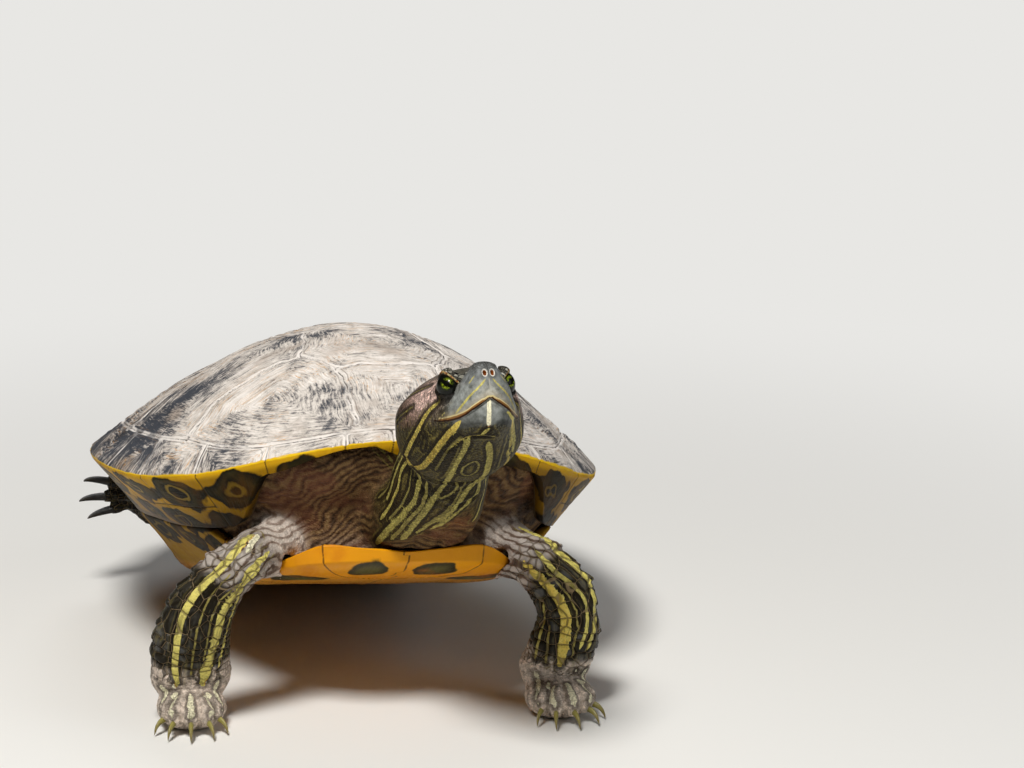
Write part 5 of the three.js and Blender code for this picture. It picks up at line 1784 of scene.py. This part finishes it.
def skin_finish():
    f = Finish("living_skin", Specular_IOR_Level=0.09)
    at_point = f.place()
    lie_at = f.attribute("lie", 1)
    tall, marble_at, beak_at = f.attribute("armour"), f.attribute("marble"), f.attribute("beak")
    crease = f.cells(lie_at, disorder=SCALE_DISORDER, feature="DISTANCE_TO_EDGE")
    cell_chance = f.add("SeparateColor", f.cells(lie_at, disorder=SCALE_DISORDER, result=1))
    plated = f.between(tall, 0.16, 0.32)
    soft = 1.0 - f.math("MAXIMUM", beak_at, plated)
    on_head = f.split(f.attribute("on_head", 1))
    mottle = f.noise(at_point, 420, 5, 0.65)
    colour = f.mix(1.0, f.attribute("ground", 0),
                   f.ramp(mottle, (0.3, (0.42, 0.42, 0.40)), (0.7, (1.6, 1.6, 1.6))), "MULTIPLY")
    colour = f.mix(plated * 0.8, colour,
                   f.ramp(cell_chance, (0.0, (0.45, 0.45, 0.45)), (1.0, (1.5, 1.5, 1.5))), "MULTIPLY")
    fibre_at = f.vector("ADD", f.vector("MULTIPLY", lie_at, (2.6, 2.6, 0.2)), (7.3, 2.1, 5.5))
    threads = f.noise(fibre_at, 1.0, 4, 0.6, 0.5)
    on_foot = f.attribute("pale_foot")
    off_beak = 1.0 - f.math("MAXIMUM", beak_at, on_foot)
    plain = off_beak * f.between(marble_at, 0.5, 0.1)
    fading = f.between(tall, 0.25, 0.1, 0.35, 1.0) * f.between(on_head[2], 4, -6, 0.15, 1.0)
    pale_threads = f.between(threads, 0.53, 0.60, 0.0, 0.6)
    colour = f.mix(pale_threads * plain * fading, colour, paint(140, 126, 66))
    colour = f.mix(f.between(threads, 0.46, 0.41, 0.0, 0.75) * plain, colour, NEAR_BLACK)

    field = f.noise(at_point, 34, 3, 0.5, 0.4) * 34.0
    x, _, z = f.split(at_point)
    rise = z * 1000.0 + abs(x) * 620.0
    waves = abs(f.math("SINE", (field + rise) * 0.78)) + (mottle - 0.5) * 1.3
    # The bands run from near-black to tan: partly the skin's own marbling, partly painted shade inside the
    # shell.
    bands = f.ramp(waves, (0.05, paint(24, 15, 9)), (0.2, paint(42, 28, 17)), (0.4, paint(68, 47, 29)),
                   (0.72, paint(86, 61, 39)), (0.98, paint(120, 95, 60)))
    bands = f.mix(f.between(f.noise(at_point, 55, 2), 0.5, 0.6, 0.0, 0.45), bands, paint(112, 66, 50))
    # Painted sunlight: on the front of the trunk and the upper arms the marbling is mixed pale.
    sunlit_bands = f.ramp(waves, (0.14, paint(112, 90, 78)), (0.40, paint(140, 116, 102)),
                        (0.54, paint(218, 204, 192)), (0.95, paint(240, 230, 222)))
    bands = f.mix(f.attribute("chest") * 0.75, bands, sunlit_bands)
    colour = f.mix(marble_at * 0.85, colour, bands)

    width = f.attribute("line_width")
    off_line = far_from(f, "line", LINE_SLACK) + (f.noise(at_point, 520, 3) - 0.5) * 0.55
    line = off_line - width
    hue = f.attribute("line_hue") + (mottle - 0.5) * 0.45
    hue = f.ramp(hue * 0.8, (0.0, paint(96, 88, 44)), (0.2, paint(158, 146, 82)),
                 (0.36, paint(220, 208, 114)), (0.56, paint(210, 176, 72)), (0.8, paint(196, 122, 50)),
                 (0.9, paint(240, 234, 202)))
    hue = f.mix(f.between(f.noise(at_point, 1300, 3), 0.5, 0.62, 0.0, 0.28), hue, paint(112, 98, 50))
    echo = f.between(abs(off_line - (width + 1.75)), 0.42, 0.18) * off_beak
    echo = echo * f.between(on_head[2], 6, 0, 0.0, 0.75) * f.between(f.noise(at_point, 130, 2), 0.42, 0.52)
    border = f.between(line, 2.0, 0.7) * (0.85 - beak_at * 0.78)
    border = border * f.between(marble_at, 0.8, 0.3, 0.3, 1.0) * f.between(on_foot, 0.6, 0.2, 0.7, 1.0)
    colour = f.mix(border, colour, NEAR_BLACK)
    colour = f.mix(echo * f.between(tall, 0.3, 0.1, 0.25, 1.0), colour, paint(122, 110, 56))
    hue = f.mix(f.between(threads, 0.47, 0.40, 0.0, 0.45), hue, paint(84, 74, 38))
    colour = f.mix(f.between(line, 0.12, -0.12), colour, hue)

    lip_at_point = far_from(f, "lip", LIP_SLACK)
    over_lip = f.split(f.attribute("lip_way", 1))[2]
    colour = f.mix(f.between(lip_at_point, 0.72, 0.5), colour, paint(134, 92, 48))
    lip_edge = f.between(abs(lip_at_point - 0.62), 0.34, 0.1) * f.between(over_lip, -0.1, 0.3)
    colour = f.mix(lip_edge, colour, paint(214, 198, 142))
    above_lip = f.between(lip_at_point, 3.4, 0.8, 0.0, 0.36) * f.between(over_lip, 0.0, 0.8)
    colour = f.mix(above_lip, colour, paint(168, 152, 122))
    colour = f.mix(f.between(far_from(f, "mouth", LIP_SLACK), 0.5, 0.25), colour, paint(52, 28, 12))

    lids_at, brow_at = f.attribute("lids"), f.attribute("brow")
    scales = f.cells(at_point, 600.0, feature="DISTANCE_TO_EDGE")
    scale_chance = f.add("SeparateColor", f.cells(at_point, 600.0, result=1))
    # The lid's scales are mixed from dark to near-white: partly their own pale colour, partly painted
    # glints.
    brow_paint = f.ramp(scale_chance, (0.1, paint(56, 54, 46)), (0.5, paint(132, 130, 118)),
                        (0.95, paint(222, 220, 206)))
    brow_paint = f.mix(f.between(scales, 0.16, 0.06), brow_paint, paint(30, 27, 22))
    on_brow = f.between(lids_at, 2.35, 2.1) * brow_at
    colour = f.mix(on_brow * 0.85, colour, brow_paint)
    lower_lid = f.between(lids_at, 1.5, 1.3) * (1.0 - brow_at)
    colour = f.mix(lower_lid * 0.85, colour, paint(24, 22, 19))
    rim = f.between(lids_at, 1.22, 1.15) * f.between(lids_at, 1.02, 1.08)
    rim_paint = f.mix(f.between(f.noise(at_point, 900, 2), 0.45, 0.58), paint(168, 104, 44),
                      paint(196, 180, 130))
    colour = f.mix(rim * f.between(brow_at, 0.2, 0.6), colour, rim_paint)
    inner = f.math("MAXIMUM", f.between(lids_at, 1.1, 1.03),
                   f.between(lids_at, 1.62, 1.45) * f.attribute("behind_lid"))
    colour = f.mix(inner, colour, paint(14, 12, 10))

    from_nostril = (abs(on_head[0]) - 1.35) / 0.66
    over_nostril = (on_head[2] - 9.2) / 1.05
    nostril = f.length(f.add("CombineXYZ", from_nostril, over_nostril, 0.0))
    snout_tip = f.between(on_head[1], 7, 5)
    colour = f.mix(f.between(nostril, 1.6, 1.4) * snout_tip, colour, paint(206, 202, 192))
    colour = f.mix(f.between(nostril, 1.08, 0.92) * snout_tip, colour, paint(120, 62, 22))
    parting = f.between(abs(on_head[0]), 0.22, 0.1) * snout_tip * f.between(on_head[2], 2.2, 2.8)
    colour = f.mix(parting * 0.7, colour,
                   f.mix(f.between(on_head[2], 8, 6.5), paint(50, 46, 40), paint(176, 172, 160)))

    edge_pale = f.between(crease, 0.026, 0.012) * plated * 0.6
    edge_dark = f.between(crease, 0.10, 0.04) * plated * 0.55
    # Painted sheen: a grey highlight is mixed onto the middle of some plated scales.
    sheen = f.between(crease, 0.14, 0.34) * plated * f.between(cell_chance, 0.3, 0.9, 0.0, 0.45)
    colour = f.mix(sheen * f.between(line, 0.0, 0.5), colour, paint(104, 105, 106))
    colour = f.mix(edge_dark, colour, paint(28, 23, 16))
    colour = f.mix(edge_pale, colour, paint(140, 120, 90))
    granules = f.cells(at_point, 1150.0)
    pebble = f.between(granules, 0.25, 0.6) * soft * f.between(marble_at, 0.2, 0.8, 0.5, 0.15)
    pebble = pebble * f.between(on_foot, 0.2, 0.6, 1.0, 0.45)
    colour = f.mix(pebble, colour, paint(36, 28, 18))
    wrinkle = f.noise(f.vector("MULTIPLY", lie_at, (1.2, 1.2, 2.6)), 1.6, 5, 0.6, 0.4)
    height = ((1.0 - granules) * 0.9 + wrinkle * 1.1) * soft + f.between(crease, 0.0, 0.12) * plated * 0.9
    height = height + f.between(scales, 0.0, 0.15) * on_brow * 0.8 + mottle * 0.25
    rough = f.between(plated + beak_at * 0.6, 0.0, 1.0, 0.46, 0.34)
    return f.done(colour, rough, height, 0.6)


finished(skin, "skin", skin_finish(), "skin", *FLESH)
